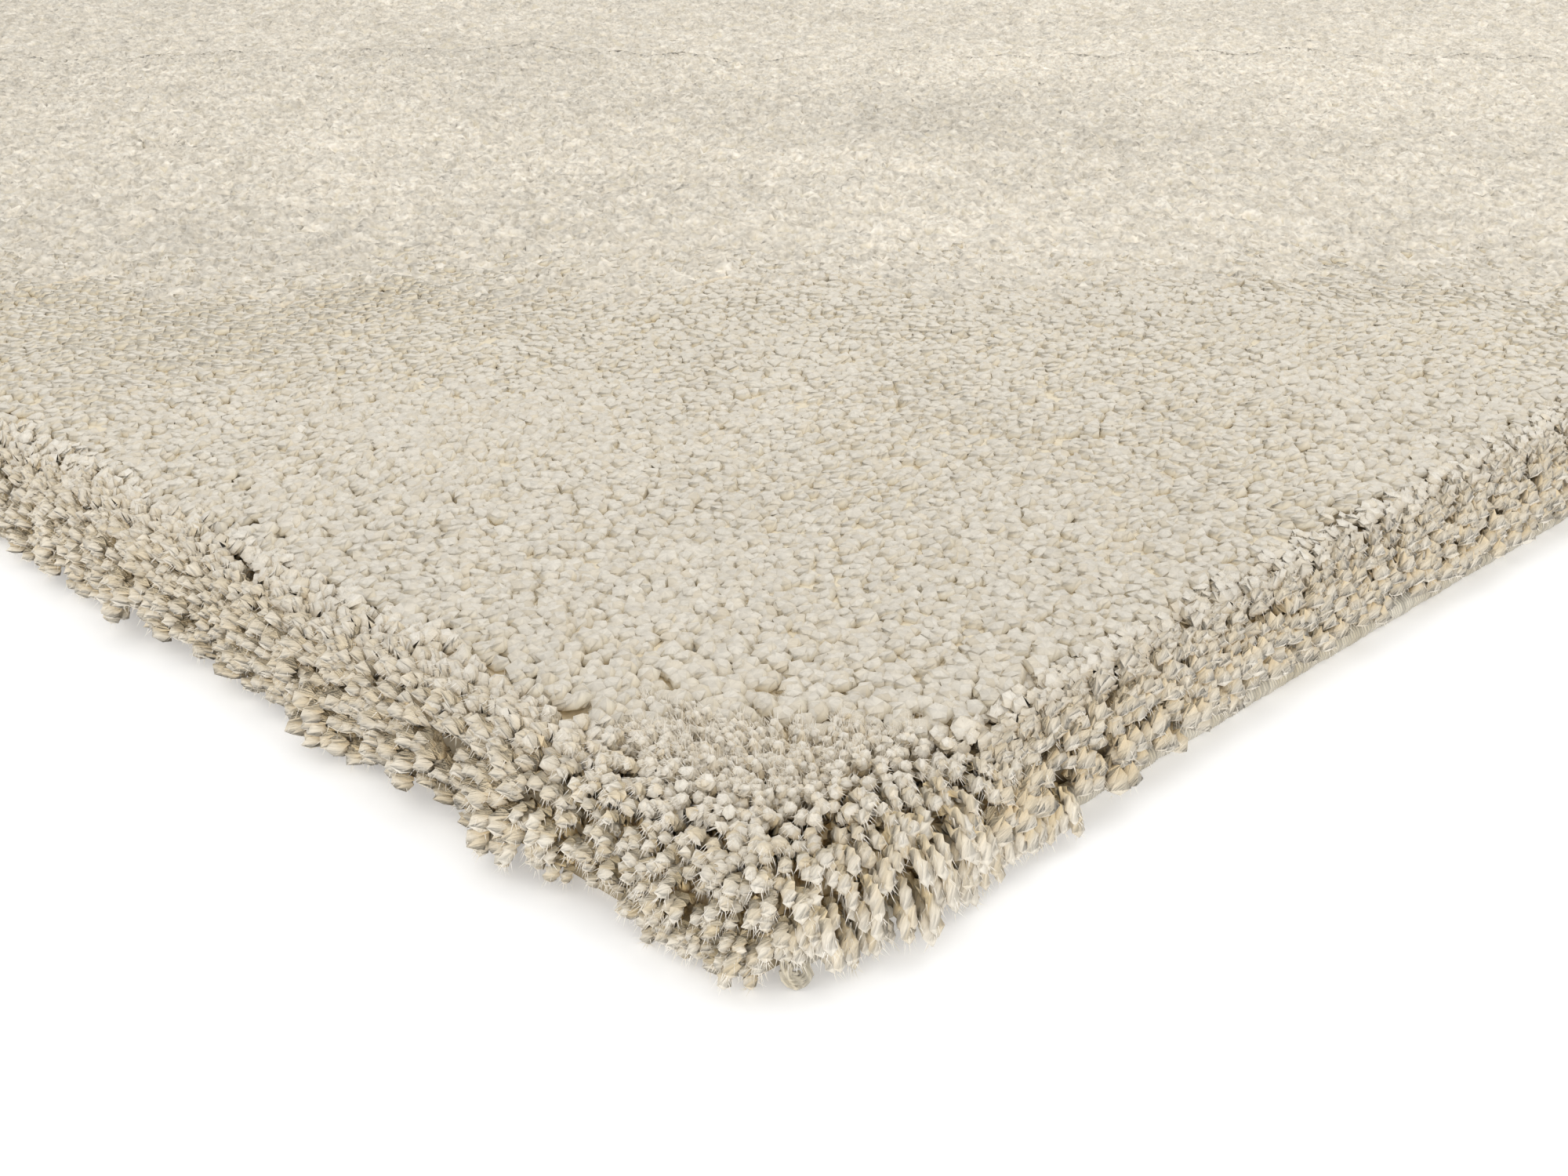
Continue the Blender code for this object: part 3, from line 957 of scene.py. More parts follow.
def tuft_tree():
    """Yarn tufts: a bent, twisted, tapered tube from each root to its tip."""
    n, ask = new_tree("yarn_tufts", ("Sides", "Rings"), (
        "Gather", "First Part", "Ragged", "Flatness", "Twist", "Flare", "Unevenness"))
    line = n.geo("CurvePrimitiveLine", End=(0.0, 0.0, 1.0))
    line = n.geo("ResampleCurve", Curve=line, Count=ask["Rings"])
    points = n.geo("MeshToPoints", Mesh=ask["Geometry"])
    copies = n.geo("InstanceOnPoints", Points=points, Instance=line)
    strands = n.geo("RealizeInstances", {0: copies})
    factor = n.geo("SplineParameter").outputs["Factor"]
    rest = n.calc("POWER", n.minus(1.0, factor), ask["Gather"])
    strands = n.store(strands, "shown", n.minus(1.0, rest))
    shown = n.named("shown")
    first = ask["First Part"]
    whole = n.plus(first, n.times(shown, n.minus(1.0, first)))
    strands = n.store(strands, "along", whole)
    t = n.named("along")
    u = n.minus(1.0, t)
    root, bend, tip = (n.named(name, "FLOAT_VECTOR") for name in ("root", "bend", "tip"))
    place = n.vector("ADD", n.scaled(root, n.times(u, u)), n.scaled(bend, n.times(u, t, 2.0)))
    place = n.vector("ADD", place, n.scaled(tip, n.times(t, t)))
    strands = n.geo("SetPosition", Geometry=strands, Position=place)
    turns = n.plus(n.named("phase"), n.times(t, ask["Twist"]))
    strands = n.geo("SetCurveTilt", Curve=strands, Tilt=turns)
    circle = n.geo("CurvePrimitiveCircle", Resolution=ask["Sides"], Radius=1.0)
    circle = n.store(circle, "round", n.geo("SplineParameter"))
    circle = n.geo("Transform", Geometry=circle, Scale=n.xyz(1.0, ask["Flatness"], 1.0))
    taper = n.named("taper")
    width = n.plus(n.times(width_along(n, shown, STRAND_PROFILE), n.minus(1.0, taper)),
                   n.times(width_along(n, shown, PACKED_PROFILE), taper))
    # Both ends close to a point.
    before_tip = n.calc("LESS_THAN", shown, 0.9999)
    not_end = n.times(n.calc("GREATER_THAN", shown, 0.0001), before_tip)
    radius = n.times(width, n.named("girth"), ask["Flare"], not_end)
    skin = n.geo("CurveToMesh", Curve=strands, Profile_Curve=circle, Scale=radius)
    # The cut end: the last rings are drawn out by chance, so that it looks brushed.
    late = n.times(n.calc("GREATER_THAN", shown, 0.80), before_tip)
    chance = n.add("FunctionNodeRandomValue", {0: (-1.0, -1.0, -1.0), 1: (1.0, 1.0, 1.0)},
                   Seed=5, data_type="FLOAT_VECTOR")
    fray = n.add("FunctionNodeRandomValue", {2: -0.5, 3: 1.3}, Seed=6, data_type="FLOAT")
    way = n.vector("NORMALIZE", n.vector("SUBTRACT", tip, bend))
    push = n.vector("ADD", n.scaled(way, fray.outputs[1]), n.scaled(chance, 0.45))
    amount = n.times(late, ask["Ragged"], n.named("girth"))
    skin = n.geo("SetPosition", Geometry=skin, Offset=n.scaled(push, amount))
    # The yarn is uneven, in lumps a little finer than itself.
    here = n.geo("InputPosition")
    lumps = n.noise(here, 330.0, 1.0).outputs["Color"]
    swelling = n.vector("SUBTRACT", lumps, (0.5, 0.5, 0.5))
    skin = n.geo("SetPosition", Geometry=skin, Offset=n.scaled(swelling, ask["Unevenness"]))
    # None of it reaches into the floor.
    apart = n.split(here)
    above = n.xyz(apart[0], apart[1], n.calc("MAXIMUM", apart[2], FLOOR_CLEAR))
    skin = n.geo("SetPosition", Geometry=skin, Position=above)
    # The map: a cell for each look and tone, round the tuft on U and along it on V.
    around = n.named("round")
    face_mean = n.geo("FieldOnDomain", {0: around}, data_type="FLOAT", domain="FACE")
    at_seam = n.times(n.calc("LESS_THAN", around, 0.001), n.calc("GREATER_THAN", face_mean, 0.3))
    on_map = n.xyz(in_cell(n, "column", n.plus(around, at_seam), SKIN_COLUMNS),
                   in_cell(n, "row", t, SKIN_ROWS))
    skin = n.store(skin, "OFBake", on_map, "FLOAT2", "CORNER")
    skin = n.geo("MergeByDistance", Geometry=skin, Distance=0.000002)
    return end_tree(n, ask, n.geo("SetShadeSmooth", Geometry=skin))


def fibre_tree():
    """Loose fibres: a slender pointed spike on each point, along the point's own way."""
    n, ask = new_tree("yarn_fibres", (), ("Thickness",))
    spike = n.geo("MeshCone", Vertices=3, Radius_Top=0.0, Radius_Bottom=0.5, Depth=1.0)
    points = n.geo("MeshToPoints", Mesh=ask["Geometry"])
    turn = n.add("FunctionNodeAlignRotationToVector", Vector=n.named("way", "FLOAT_VECTOR"),
                 axis="Z")
    size = n.xyz(ask["Thickness"], ask["Thickness"], n.named("reach"))
    copies = n.geo("InstanceOnPoints", Points=points, Instance=spike, Rotation=turn, Scale=size)
    return end_tree(n, ask, copies)


def whipping_tree():
    """A cord whipped with thread: ribs across a tube that follows the edge."""
    n, ask = new_tree("whipped_edge", ("Sides",), ("Thread", "Radius", "Rib"))
    path = n.geo("MeshToCurve", Mesh=ask["Geometry"])
    path = n.geo("ResampleCurve", Curve=path, Length=ask["Thread"], mode="LENGTH")
    odd = n.calc("MODULO", n.geo("InputIndex"), 2.0)
    place = n.geo("InputPosition")
    bulge = n.ramp(n.noise(place, 210.0, 1.0), 0.3, 0.7, -0.05, 0.05)
    slow = n.ramp(n.noise(place, 34.0, 0.0), 0.3, 0.7, -0.05, 0.03)
    spline = n.geo("SplineParameter").outputs
    length = spline["Length"]
    near_start = n.calc("DIVIDE", length, 0.003, use_clamp=True)
    total = n.calc("DIVIDE", length, n.calc("MAXIMUM", spline["Factor"], 0.0001))
    near_end = n.calc("DIVIDE", n.minus(total, length), 0.003, use_clamp=True)
    ends = n.ramp(n.times(near_start, near_end), 0.0, 1.0, 0.55, 1.0)
    scale = n.plus(n.plus(1.0, n.times(odd, ask["Rib"])), n.plus(bulge, slow))
    circle = n.geo("CurvePrimitiveCircle", Resolution=ask["Sides"], Radius=1.0)
    skin = n.geo("CurveToMesh", Curve=path, Profile_Curve=circle,
                 Scale=n.times(scale, ends, ask["Radius"]), Fill_Caps=True)
    return end_tree(n, ask, n.geo("SetShadeSmooth", Geometry=skin))


def coil_tree():
    """The thread's last turns over the end of a cord, coiled flat."""
    n, ask = new_tree("cord_end", (), (
        "Turns", "Inner", "Outer", "Dome", "Looseness", "Thread"))
    coil = n.geo("CurveSpiral", Resolution=13, Rotations=ask["Turns"],
                 Start_Radius=ask["Inner"], End_Radius=ask["Outer"], Height=ask["Dome"])
    points = n.geo("MeshToPoints", Mesh=ask["Geometry"])
    turn = n.add("FunctionNodeAlignRotationToVector", Vector=n.named("way", "FLOAT_VECTOR"),
                 axis="Z")
    coils = n.geo("InstanceOnPoints", Points=points, Instance=coil, Rotation=turn)
    coils = n.geo("RealizeInstances", {0: coils})
    stray = n.noise(n.geo("InputPosition"), 520.0, 1.0).outputs["Color"]
    shift = n.vector("SUBTRACT", stray, (0.5, 0.5, 0.5))
    coils = n.geo("SetPosition", Geometry=coils, Offset=n.scaled(shift, ask["Looseness"]))
    circle = n.geo("CurvePrimitiveCircle", Resolution=6, Radius=1.0)
    skin = n.geo("CurveToMesh", Curve=coils, Profile_Curve=circle, Scale=ask["Thread"],
                 Fill_Caps=True)
    return end_tree(n, ask, n.geo("SetShadeSmooth", Geometry=skin))


TREE_MAKERS = {"yarn_tufts": tuft_tree, "yarn_fibres": fibre_tree,
               "whipped_edge": whipping_tree, "cord_end": coil_tree}


# ---------------------------------------------------------------- making pieces

# What a plan carries for its tree alone.
PLAN_VALUES = ("root", "bend", "tip", "girth", "taper", "phase", "column", "row", "along",
               "shown", "round", "way", "reach", "UVMap")


def set_values(mesh, name, values):
    """Give each point of a mesh a number or a vector."""
    kind, field = ("FLOAT", "value") if values.ndim == 1 else ("FLOAT_VECTOR", "vector")
    mesh.attributes.new(name, kind, "POINT").data.foreach_set(field, values.ravel())


def point_plan(points, **values):
    """Bare points that carry values for a geometry tree."""
    plan = bpy.data.meshes.new("plan")
    plan.vertices.add(len(points))
    plan.vertices.foreach_set("co", points.ravel())
    for name, numbers in values.items():
        set_values(plan, name, numbers)
    return plan


def place_mesh(name, mesh):
    piece = bpy.data.objects.new(name, mesh)
    bpy.context.scene.collection.objects.link(piece)
    return piece


def finish_piece(piece, node=None):
    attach(piece, "root")
    if node:
        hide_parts(node)


def grow(name, kind, plan, values):
    """Run a geometry tree on a plan, and keep what it makes as a plain mesh."""
    tree = bpy.data.node_groups.get(kind) or TREE_MAKERS[kind]()
    carrier = place_mesh("plan", plan)
    modifier = carrier.modifiers.new("plan", "NODES")
    modifier.node_group = tree
    sockets = {item.name: item.identifier for item in tree.interface.items_tree
               if item.in_out == "INPUT"}
    for label, value in values.items():
        modifier[sockets[label]] = value
    graph = bpy.context.evaluated_depsgraph_get()
    mesh = bpy.data.meshes.new_from_object(carrier.evaluated_get(graph),
                                           preserve_all_data_layers=True, depsgraph=graph)
    bpy.data.objects.remove(carrier)
    for label in PLAN_VALUES:
        if label in mesh.attributes:
            mesh.attributes.remove(mesh.attributes[label])
    mesh.name = name
    return place_mesh(name, mesh)


def yarn_piece(name, grade, x, y, settings, finish, seed, front=False):
    """Tufts of one grade at the given places, as one mesh."""
    dice = np.random.default_rng(seed)
    x, y, root, bend, tip = planted(x, y, seed + 1, front)
    count = len(x)
    fall = fall_at(x, y)
    # The tone row: painted light and shade from the lie of the pile, painted shade on fallen
    # tufts and on sunken ones, and a random scatter.
    tone = 0.5 * (SKIN_ROWS - 1) + LAY_LIGHT_ROWS * painted_lay_light(x, y) - FALLEN_PAINTED_SHADE * fall
    tone = tone - SUNKEN_PAINTED_SHADE * sunken(count, seed + 1)
    row = np.clip(np.round(tone + TONE_SCATTER * dice.normal(0, 1, count)), 0, SKIN_ROWS - 1)
    girth = grade.girth * settings.width / 2 * (1 + GIRTH_SCATTER * dice.normal(0, 1, count))
    upright = np.clip(1 - fall / 0.5, 0, 1)
    plan = point_plan(
        np.zeros((count, 3)), root=root, bend=bend, tip=tip, girth=girth * (1 + 0.08 * fall),
        taper=grade.taper + (1 - grade.taper) * 0.8 * upright,
        phase=dice.uniform(0, math.tau, count),
        column=dice.integers(0, SKIN_COLUMNS, count).astype(float), row=row)
    piece = grow(name, "yarn_tufts", plan, {
        "Sides": grade.sides, "Rings": grade.rings, "Gather": grade.gather,
        "First Part": grade.first_part, "Ragged": grade.ragged, "Flatness": grade.flatness,
        "Twist": math.tau * PILE_HEIGHT / settings.twist, "Flare": FLARE,
        "Unevenness": settings.unevenness, "Material": finish_named(finish)})
    finish_piece(piece)


def unit(vectors):
    return vectors / np.maximum(np.linalg.norm(vectors, axis=1), 1e-9)[:, None]


LOWEST_FIBRE = 0.0006


def fibre_piece(name, x, y, each, girth, settings, seed, front):
    """The fibres that stand out from the cut ends of the tufts planted with this seed."""
    x, y, root, bend, tip = planted(x, y, seed + 1, front)
    dice = np.random.default_rng(seed + 7)
    own = np.repeat(np.arange(len(x)), each)
    count = len(own)
    t = 1 - 0.24 * dice.random(count) ** 1.6
    u = 1 - t
    place = root[own] * (u * u)[:, None] + bend[own] * (2 * u * t)[:, None]
    place = place + tip[own] * (t * t)[:, None]
    along = unit(tip - bend)[own]
    side = dice.normal(0, 1, (count, 3))
    side = unit(side - along * (side * along).sum(1)[:, None])
    inset = np.where(t > 0.95, dice.uniform(0.1, 0.8, count), 0.85)
    place = place + side * (inset * girth * settings.width / 2)[:, None]
    way = along * dice.uniform(0.5, 1.3, count)[:, None]
    way = unit(way + side * dice.uniform(0.10, 0.75, count)[:, None])
    reach = dice.uniform(0.5, 1.0, count) * settings.fibre_length
    # Fibres that would reach into the floor lie level on it.
    place[:, 2] = np.maximum(place[:, 2], LOWEST_FIBRE)
    way[:, 2] = np.maximum(way[:, 2], (LOWEST_FIBRE - place[:, 2]) / reach)
    level = np.sqrt(np.clip(1 - way[:, 2:] ** 2, 0, 1))
    way[:, :2] = level * unit(way[:, :2])
    piece = grow(name, "yarn_fibres", point_plan(place, way=way, reach=reach), {
        "Thickness": settings.fibre_width, "Material": finish_named("brushed_fibre")})
    finish_piece(piece)


# ---------------------------------------------------------------- packed sheets and bed

SHEET_BOTTOM = 0.0195
PEAK_JITTER = 0.30            # of the distance between two peaks
PEAK_SCATTER = 0.0008         # of their heights
# Painted shade: a sheet's valleys, and partly its sunken peaks, take the field's shade colour.
SUNKEN_PEAK_SHADE = 0.85            # how much a sunken peak looks like a valley
LAY_LIGHT = 0.046             # how much lighter each row of the yarn's map is
LIGHT_SCATTER = 0.055


def sheet_faces(cells):
    """A sheet's faces: four from each valley to its peaks, and walls down from its border. Its
    points are numbered peaks first, then valleys, and then the feet of the peaks."""
    across, along = cells.shape
    peak_at = np.arange((across + 1) * (along + 1)).reshape(across + 1, along + 1)
    centre = (peak_at.size + np.arange(cells.size).reshape(cells.shape))[cells]
    ring = [peak_at[:-1, :-1][cells], peak_at[1:, :-1][cells], peak_at[1:, 1:][cells],
            peak_at[:-1, 1:][cells]]
    faces = np.concatenate([np.stack([ring[turn], ring[(turn + 1) % 4], centre], 1)
                            for turn in range(4)])
    down = peak_at.size + cells.size
    walls = []
    for edge, step in (((0, 0, 1, 0), (0, 1)), ((1, 0, 1, 1), (-1, 0)),
                       ((1, 1, 0, 1), (0, -1)), ((0, 1, 0, 0), (1, 0))):
        beyond = np.roll(np.pad(cells, 1), step, (0, 1))[1:-1, 1:-1]
        column, row = np.nonzero(cells & ~beyond)
        start = peak_at[column + edge[0], row + edge[1]]
        end = peak_at[column + edge[2], row + edge[3]]
        walls.append(np.stack([end, start, start + down, end + down], 1))
    return faces, np.concatenate(walls)


def corner_mean(table):
    """The mean of each cell's four corners."""
    return (table[:-1, :-1] + table[1:, :-1] + table[:-1, 1:] + table[1:, 1:]) / 4


def packed_sheet(name, kind, peaks, relief, border, lightness, seed):
    """Packed tufts as one closed sheet: a peak for each tuft, and a valley between four."""
    dice = np.random.default_rng(seed)
    cells = np.repeat(np.repeat(TILE_KINDS == kind, peaks, 0), peaks, 1)
    step = 2 * INNER / (TILES * peaks)
    i, j = np.meshgrid(*(np.arange(count + 1) for count in TILES * peaks), indexing="ij")
    # Peaks on the border keep to the grid, where another kind of pile meets them.
    free = corner_mean(np.pad(cells, 1).astype(int)) == 1
    shift = dice.uniform(-PEAK_JITTER, PEAK_JITTER, (2,) + i.shape) * step[0] * free
    peak_x = i * step[0] - INNER[0] + shift[0]
    peak_y = j * step[1] - INNER[1] + shift[1]
    tall = PEAK_SCATTER * dice.normal(0, 1, i.shape) + swells(peak_x, peak_y, TIP_LUMPS)
    gap = dice.random(i.shape) < SUNKEN_SHARE
    at_border = 0.0006 * swell(peak_x, peak_y, 0.007, 29) - border
    tall = np.where(free, 1.3 * tall - SUNKEN_BY * gap, at_border)
    peak_z = top_height(peak_x, peak_y) + tall
    low_z = SHEET_BOTTOM + 0.0004 * swell(peak_x, peak_y, 0.005, 30)
    valley_x, valley_y, valley_z = (corner_mean(table) for table in (peak_x, peak_y, peak_z))
    valley_z = valley_z - relief * (0.55 + 0.9 * dice.random(valley_z.shape))
    for crease in CREASES:
        valley_z = valley_z - CREASE_VALLEY * in_crease(valley_x, valley_y, crease)[0]
    x = np.concatenate([peak_x.ravel(), valley_x.ravel(), peak_x.ravel()])
    y = np.concatenate([peak_y.ravel(), valley_y.ravel(), peak_y.ravel()])
    z = np.concatenate([peak_z.ravel(), valley_z.ravel(), low_z.ravel()])
    faces, walls = sheet_faces(cells)
    used = np.unique(np.concatenate([faces.ravel(), walls.ravel()]))
    renumber = np.full(len(x), -1)
    renumber[used] = np.arange(len(used))
    points = np.stack([*lay(x[used], y[used]), z[used]], 1)
    mesh = bpy.data.meshes.new(name)
    mesh.from_pydata(points.tolist(), [], renumber[faces].tolist() + renumber[walls].tolist())
    close_below(mesh)
    # Painted shade in the valleys and on sunken peaks; painted light and shade from the lie of
    # the pile, with a random scatter of tone and tint.
    valley_shade = np.concatenate([SUNKEN_PEAK_SHADE * gap.ravel(), np.ones(valley_x.size + peak_x.size)])
    light = lightness + LAY_LIGHT * LAY_LIGHT_ROWS * painted_lay_light(x, y)
    light = light + LIGHT_SCATTER * dice.normal(0, 1, len(x))
    set_values(mesh, "low", valley_shade[used])
    set_values(mesh, "tone", light[used])
    set_values(mesh, "tint", np.clip(0.5 + 0.40 * dice.normal(0, 1, len(x)), 0, 1)[used])
    mesh.materials.append(finish_named("packed_yarn"))
    finish_piece(place_mesh(name, mesh))


def close_below(mesh):
    """Fill a sheet's open underside, and smooth only its top."""
    bm = bmesh.new()
    bm.from_mesh(mesh)
    open_edges = [edge for edge in bm.edges if edge.is_boundary]
    filled = bmesh.ops.triangle_fill(bm, edges=open_edges, normal=(0.0, 0.0, -1.0))["geom"]
    bottom = {item for item in filled if isinstance(item, bmesh.types.BMFace)}
    bmesh.ops.recalc_face_normals(bm, faces=bm.faces)
    for face in bm.faces:
        face.smooth = len(face.verts) == 3 and face not in bottom
    bm.to_mesh(mesh)
    bm.free()


# The bed between the tufts: below the pile's top in the field, more in the corner in front
# and by a crease, and under the rim further in and down; its grid lines under the rim, and
# the step inside.
BED_DROP = 0.0022
BED_OPEN_DROP = 0.0045
BED_CREASE_DROP = 0.0040
BED_CREASE_REACH = 0.030      # past a crease's ends
BED_UNDER_SHEET = 0.002
BED_INSET = 0.0004
BED_LOW = 0.0065
BED_RIM = (0.0105, 0.0125, 0.0160, 0.0200, 0.0250, 0.0310, 0.0380, 0.0460)
BED_STEP = 0.036


def bed_lines(half):
    """Grid lines of the bed across one way: close together under the rim, wide inside."""
    inner = half - BED_RIM[-1]
    inside = np.linspace(-inner, inner, int(2 * inner / BED_STEP) + 2)
    rim = half - np.array(BED_RIM[:-1])
    return np.concatenate([-rim, inside, rim[::-1]])


def pile_bed():
    """The closed bed of the yarn's lower parts, a little under the tips everywhere."""
    x, y = np.meshgrid(bed_lines(HALF[0]), bed_lines(HALF[1]), indexing="ij")
    depth, out_x, out_y, spread, over_cord = rim_facts(x, y)
    open_pile = np.exp(-(from_front(x, y) / CORNER_REACH) ** 2)
    out = part_way(SIDE_OUT, END_OUT, spread)
    share = np.clip((RIM_DEPTH - depth + BED_INSET) / (RIM_DEPTH + out), 0, 1)
    rise = (1 - share ** RIM_SQUARENESS) ** (1 / RIM_SQUARENESS)
    shallow = (kind_at(x, y) < FINE_KIND) | (depth < RIM_DEPTH)
    top = top_height(x, y)
    drop = np.where(shallow, BED_DROP, top - SHEET_BOTTOM - BED_UNDER_SHEET)
    drop = drop + BED_OPEN_DROP * open_pile
    for crease in CREASES:
        reach = 0.5 * crease.length + BED_CREASE_REACH
        from_crease = np.hypot(x - crease.x, y - crease.y)
        drop = drop + BED_CREASE_DROP * np.exp(-(from_crease / reach) ** 2)
    height = BED_LOW + (top - drop - BED_LOW) * rise
    x, y = lay(np.clip(x, -HALF[0] + BED_RIM[0], HALF[0] - BED_RIM[0]), y)
    bottom = np.full(x.shape, GROUND_TOP + 0.0003)
    points = np.concatenate([np.stack([x.ravel(), y.ravel(), z.ravel()], 1)
                             for z in (height, bottom)])
    count = x.size
    at = np.arange(count).reshape(x.shape)
    cells = np.stack([at[:-1, :-1].ravel(), at[1:, :-1].ravel(), at[1:, 1:].ravel(),
                      at[:-1, 1:].ravel()], 1)
    faces = cells.tolist() + (cells[:, ::-1] + count).tolist()
    ring = np.concatenate([at[:-1, 0], at[-1, :-1], at[:0:-1, -1], at[0, :0:-1]])
    for start, end in zip(ring, np.roll(ring, -1)):
        faces.append([end, start, start + count, end + count])
    mesh = bpy.data.meshes.new("pile_bed")
    mesh.from_pydata(points.tolist(), [], faces)
    mesh.shade_smooth()
    # How much of the field's lighter painted shade the bed takes, against the open corner's
    # deeper painted shade.
    raised = (1 - open_pile) * np.clip(0.72 + depth / 0.06, 0, 1)
    set_values(mesh, "raised", np.tile(raised.ravel(), 2))
    mesh.materials.append(finish_named("pile_roots"))
    finish_piece(place_mesh("pile_bed", mesh), "pile")


# ---------------------------------------------------------------- ground and whipped edges

CORD_RADIUS = 0.0038
CORD_LIFT = 1.14              # height of the cord's middle, in radii
CORD_INSET = 0.0041           # of the cord's middle from the rug's outline
CORD_RIB = 0.05               # height of a turn of thread against the cord
CORD_SHORT = 0.008            # how much earlier than the rug the whipping ends
FINE_WHIPPING_END = -0.62     # how far along the rug single turns of thread are made
WHIPPING_STEP = 0.010


def whipped_edge(name, side, low, high, thread, sides, node=None):
    """A whipped cord along part of an edge, its turns of thread one step apart."""
    count = int((high - low) / WHIPPING_STEP) + 2
    x, y = lay(np.full(count, side * (HALF[0] - CORD_INSET)), np.linspace(low, high, count))
    path = bpy.data.meshes.new("plan")
    path.from_pydata(np.stack([x, y, np.full(count, CORD_LIFT * CORD_RADIUS)], 1).tolist(),
                     [(i, i + 1) for i in range(count - 1)], [])
    piece = grow(name, "whipped_edge", path, {
        "Thread": thread, "Radius": CORD_RADIUS, "Rib": CORD_RIB, "Sides": sides,
        "Material": finish_named("wound_thread")})
    finish_piece(piece, node)


def cord_ends():
    """A coil of thread on each of the cords' four ends."""
    ends = [(side, end) for side in (-1, 1) for end in (-1, 1)]
    places = [(side * CORD_END.x, -end * (CORD_END.y + 0.0025), CORD_END.z)
              for side, end in ends]
    ways = [(side * 0.42, end * 0.88, 0.20) for side, end in ends]
    plan = point_plan(np.array(places), way=np.array(ways))
    piece = grow("cord_ends", "cord_end", plan, {
        "Turns": 4.4, "Inner": 0.0008, "Outer": 0.0041, "Dome": 0.0010, "Looseness": 0.0030,
        "Thread": 0.0006, "Material": finish_named("wound_thread")})
    finish_piece(piece)


def ground_cloth():
    """The woven ground cloth, thin and closed, on the solid's own outline."""
    bm = bmesh.new()
    bm.from_mesh(frame["nodes"]["ground_cloth"].data)
    bmesh.ops.remove_doubles(bm, verts=bm.verts, dist=0.00001)
    mesh = bpy.data.meshes.new("woven_ground")
    bm.to_mesh(mesh)
    bm.free()
    if "UVMap" in mesh.attributes:
        mesh.attributes.remove(mesh.attributes["UVMap"])
    mesh.materials.clear()
    mesh.materials.append(finish_named("woven_ground"))
    piece = place_mesh("woven_ground", mesh)
    finish_piece(piece, "ground_cloth")
    return piece


# ---------------------------------------------------------------- settings

def length_setting(label, note, value):
    return FloatProperty(name=label, description=note, default=value, unit="LENGTH")


def share_setting(label, note, value):
    return FloatProperty(name=label, description=note, default=value, subtype="FACTOR", min=0.0,
                         max=1.0)


def power_setting(label, note, value):
    return FloatProperty(name=label, description=note, default=value, unit="POWER")


def colour_setting(label, note, value):
    return FloatVectorProperty(name=label, description=note, default=value, size=4,
                               subtype="COLOR", min=0.0, max=1.0)


class YarnSettings(bpy.types.PropertyGroup):
    """Sizes and colours of the pile's yarn."""
    pitch: length_setting("Pitch", "Distance between neighbouring tufts", 0.0044)
    rim_pitch: length_setting("Rim pitch", "Distance between tufts on the other rims", 0.0068)
    width: length_setting("Width", "Width of a tuft across both plies", 0.0050)
    twist: length_setting("Twist", "Length of one whole turn of the plies", 0.0095)
    relief: length_setting("Relief", "Depth of the valleys between packed tips", 0.0040)
    sheen: share_setting("Sheen", "Soft gleam of the brushed fibres", 0.22)
    unevenness: length_setting("Unevenness", "Height of the yarn's lumps", 0.0009)
    fibre_length: length_setting("Fibre length", "Longest loose fibre at a cut end", 0.0036)
    fibre_width: length_setting("Fibre width", "Width of a tapered wisp of fibre", 0.00024)
    ply_shadow: share_setting("Ply shadow", "Light left in the crease between the plies", 0.84)
    tone_range: share_setting("Tone range", "How far a tuft may be from the mean tone", 0.10)
    cream: colour_setting("Cream", "The lightest ply", paint(239, 232, 218))
    beige: colour_setting("Beige", "The darker ply", paint(223, 206, 174))
    greige: colour_setting("Greige", "The greyer ply", paint(230, 222, 207))
    fibre: colour_setting("Fibre", "Brushed fibres at the cut ends", paint(246, 241, 231))
    # Painted shade: these three colours are painted on the yarn at its roots and between the
    # tufts, darker and warmer than the yarn itself, for the shade among the tufts and the warm
    # light scattered into it.
    shade: colour_setting("Shade", "Yarn at the roots of open pile", paint(255, 230, 178))
    rim_shade: colour_setting("Rim shade", "Yarn at the roots of the rim", paint(255, 233, 192))
    field_shade: colour_setting("Field shade", "Yarn between packed tips", paint(236, 225, 201))


class EdgeSettings(bpy.types.PropertyGroup):
    """Colours and sizes of the whipped edges and the ground cloth."""
    thread_pitch: length_setting("Thread pitch", "Width of one turn of thread", 0.0014)
    thread: colour_setting("Thread", "The whipping thread", paint(208, 196, 170))
    thread_light: colour_setting("Light thread", "The worn thread", paint(232, 224, 206))
    cloth: colour_setting("Cloth", "The ground cloth", paint(176, 160, 130))
    cloth_light: colour_setting("Light cloth", "Slubs in the ground cloth", paint(200, 186, 160))


class StudioSettings(bpy.types.PropertyGroup):
    """The floor and the lights."""
    floor: colour_setting("Floor", "The pale floor", (0.92, 0.92, 0.92, 1.0))
    glow: FloatProperty(name="Glow", description="Light that the floor gives of its own",
                        default=0.25)
    sky: FloatProperty(name="Sky", description="Strength of the even light from all round",
                       default=0.84)
    softbox: power_setting("Softbox", "Power of the large light above", 14.0)
    front_panel: power_setting("Front panel", "Power of the large light behind the camera", 25.0)


# ---------------------------------------------------------------- operators

class RUG_OT_pile_bed(bpy.types.Operator):
    """Lay the shaded bed of roots under the pile"""
    bl_idname = "rug.pile_bed"
    bl_label = "Pile bed"

    def execute(self, context):
        pile_bed()
        return {"FINISHED"}


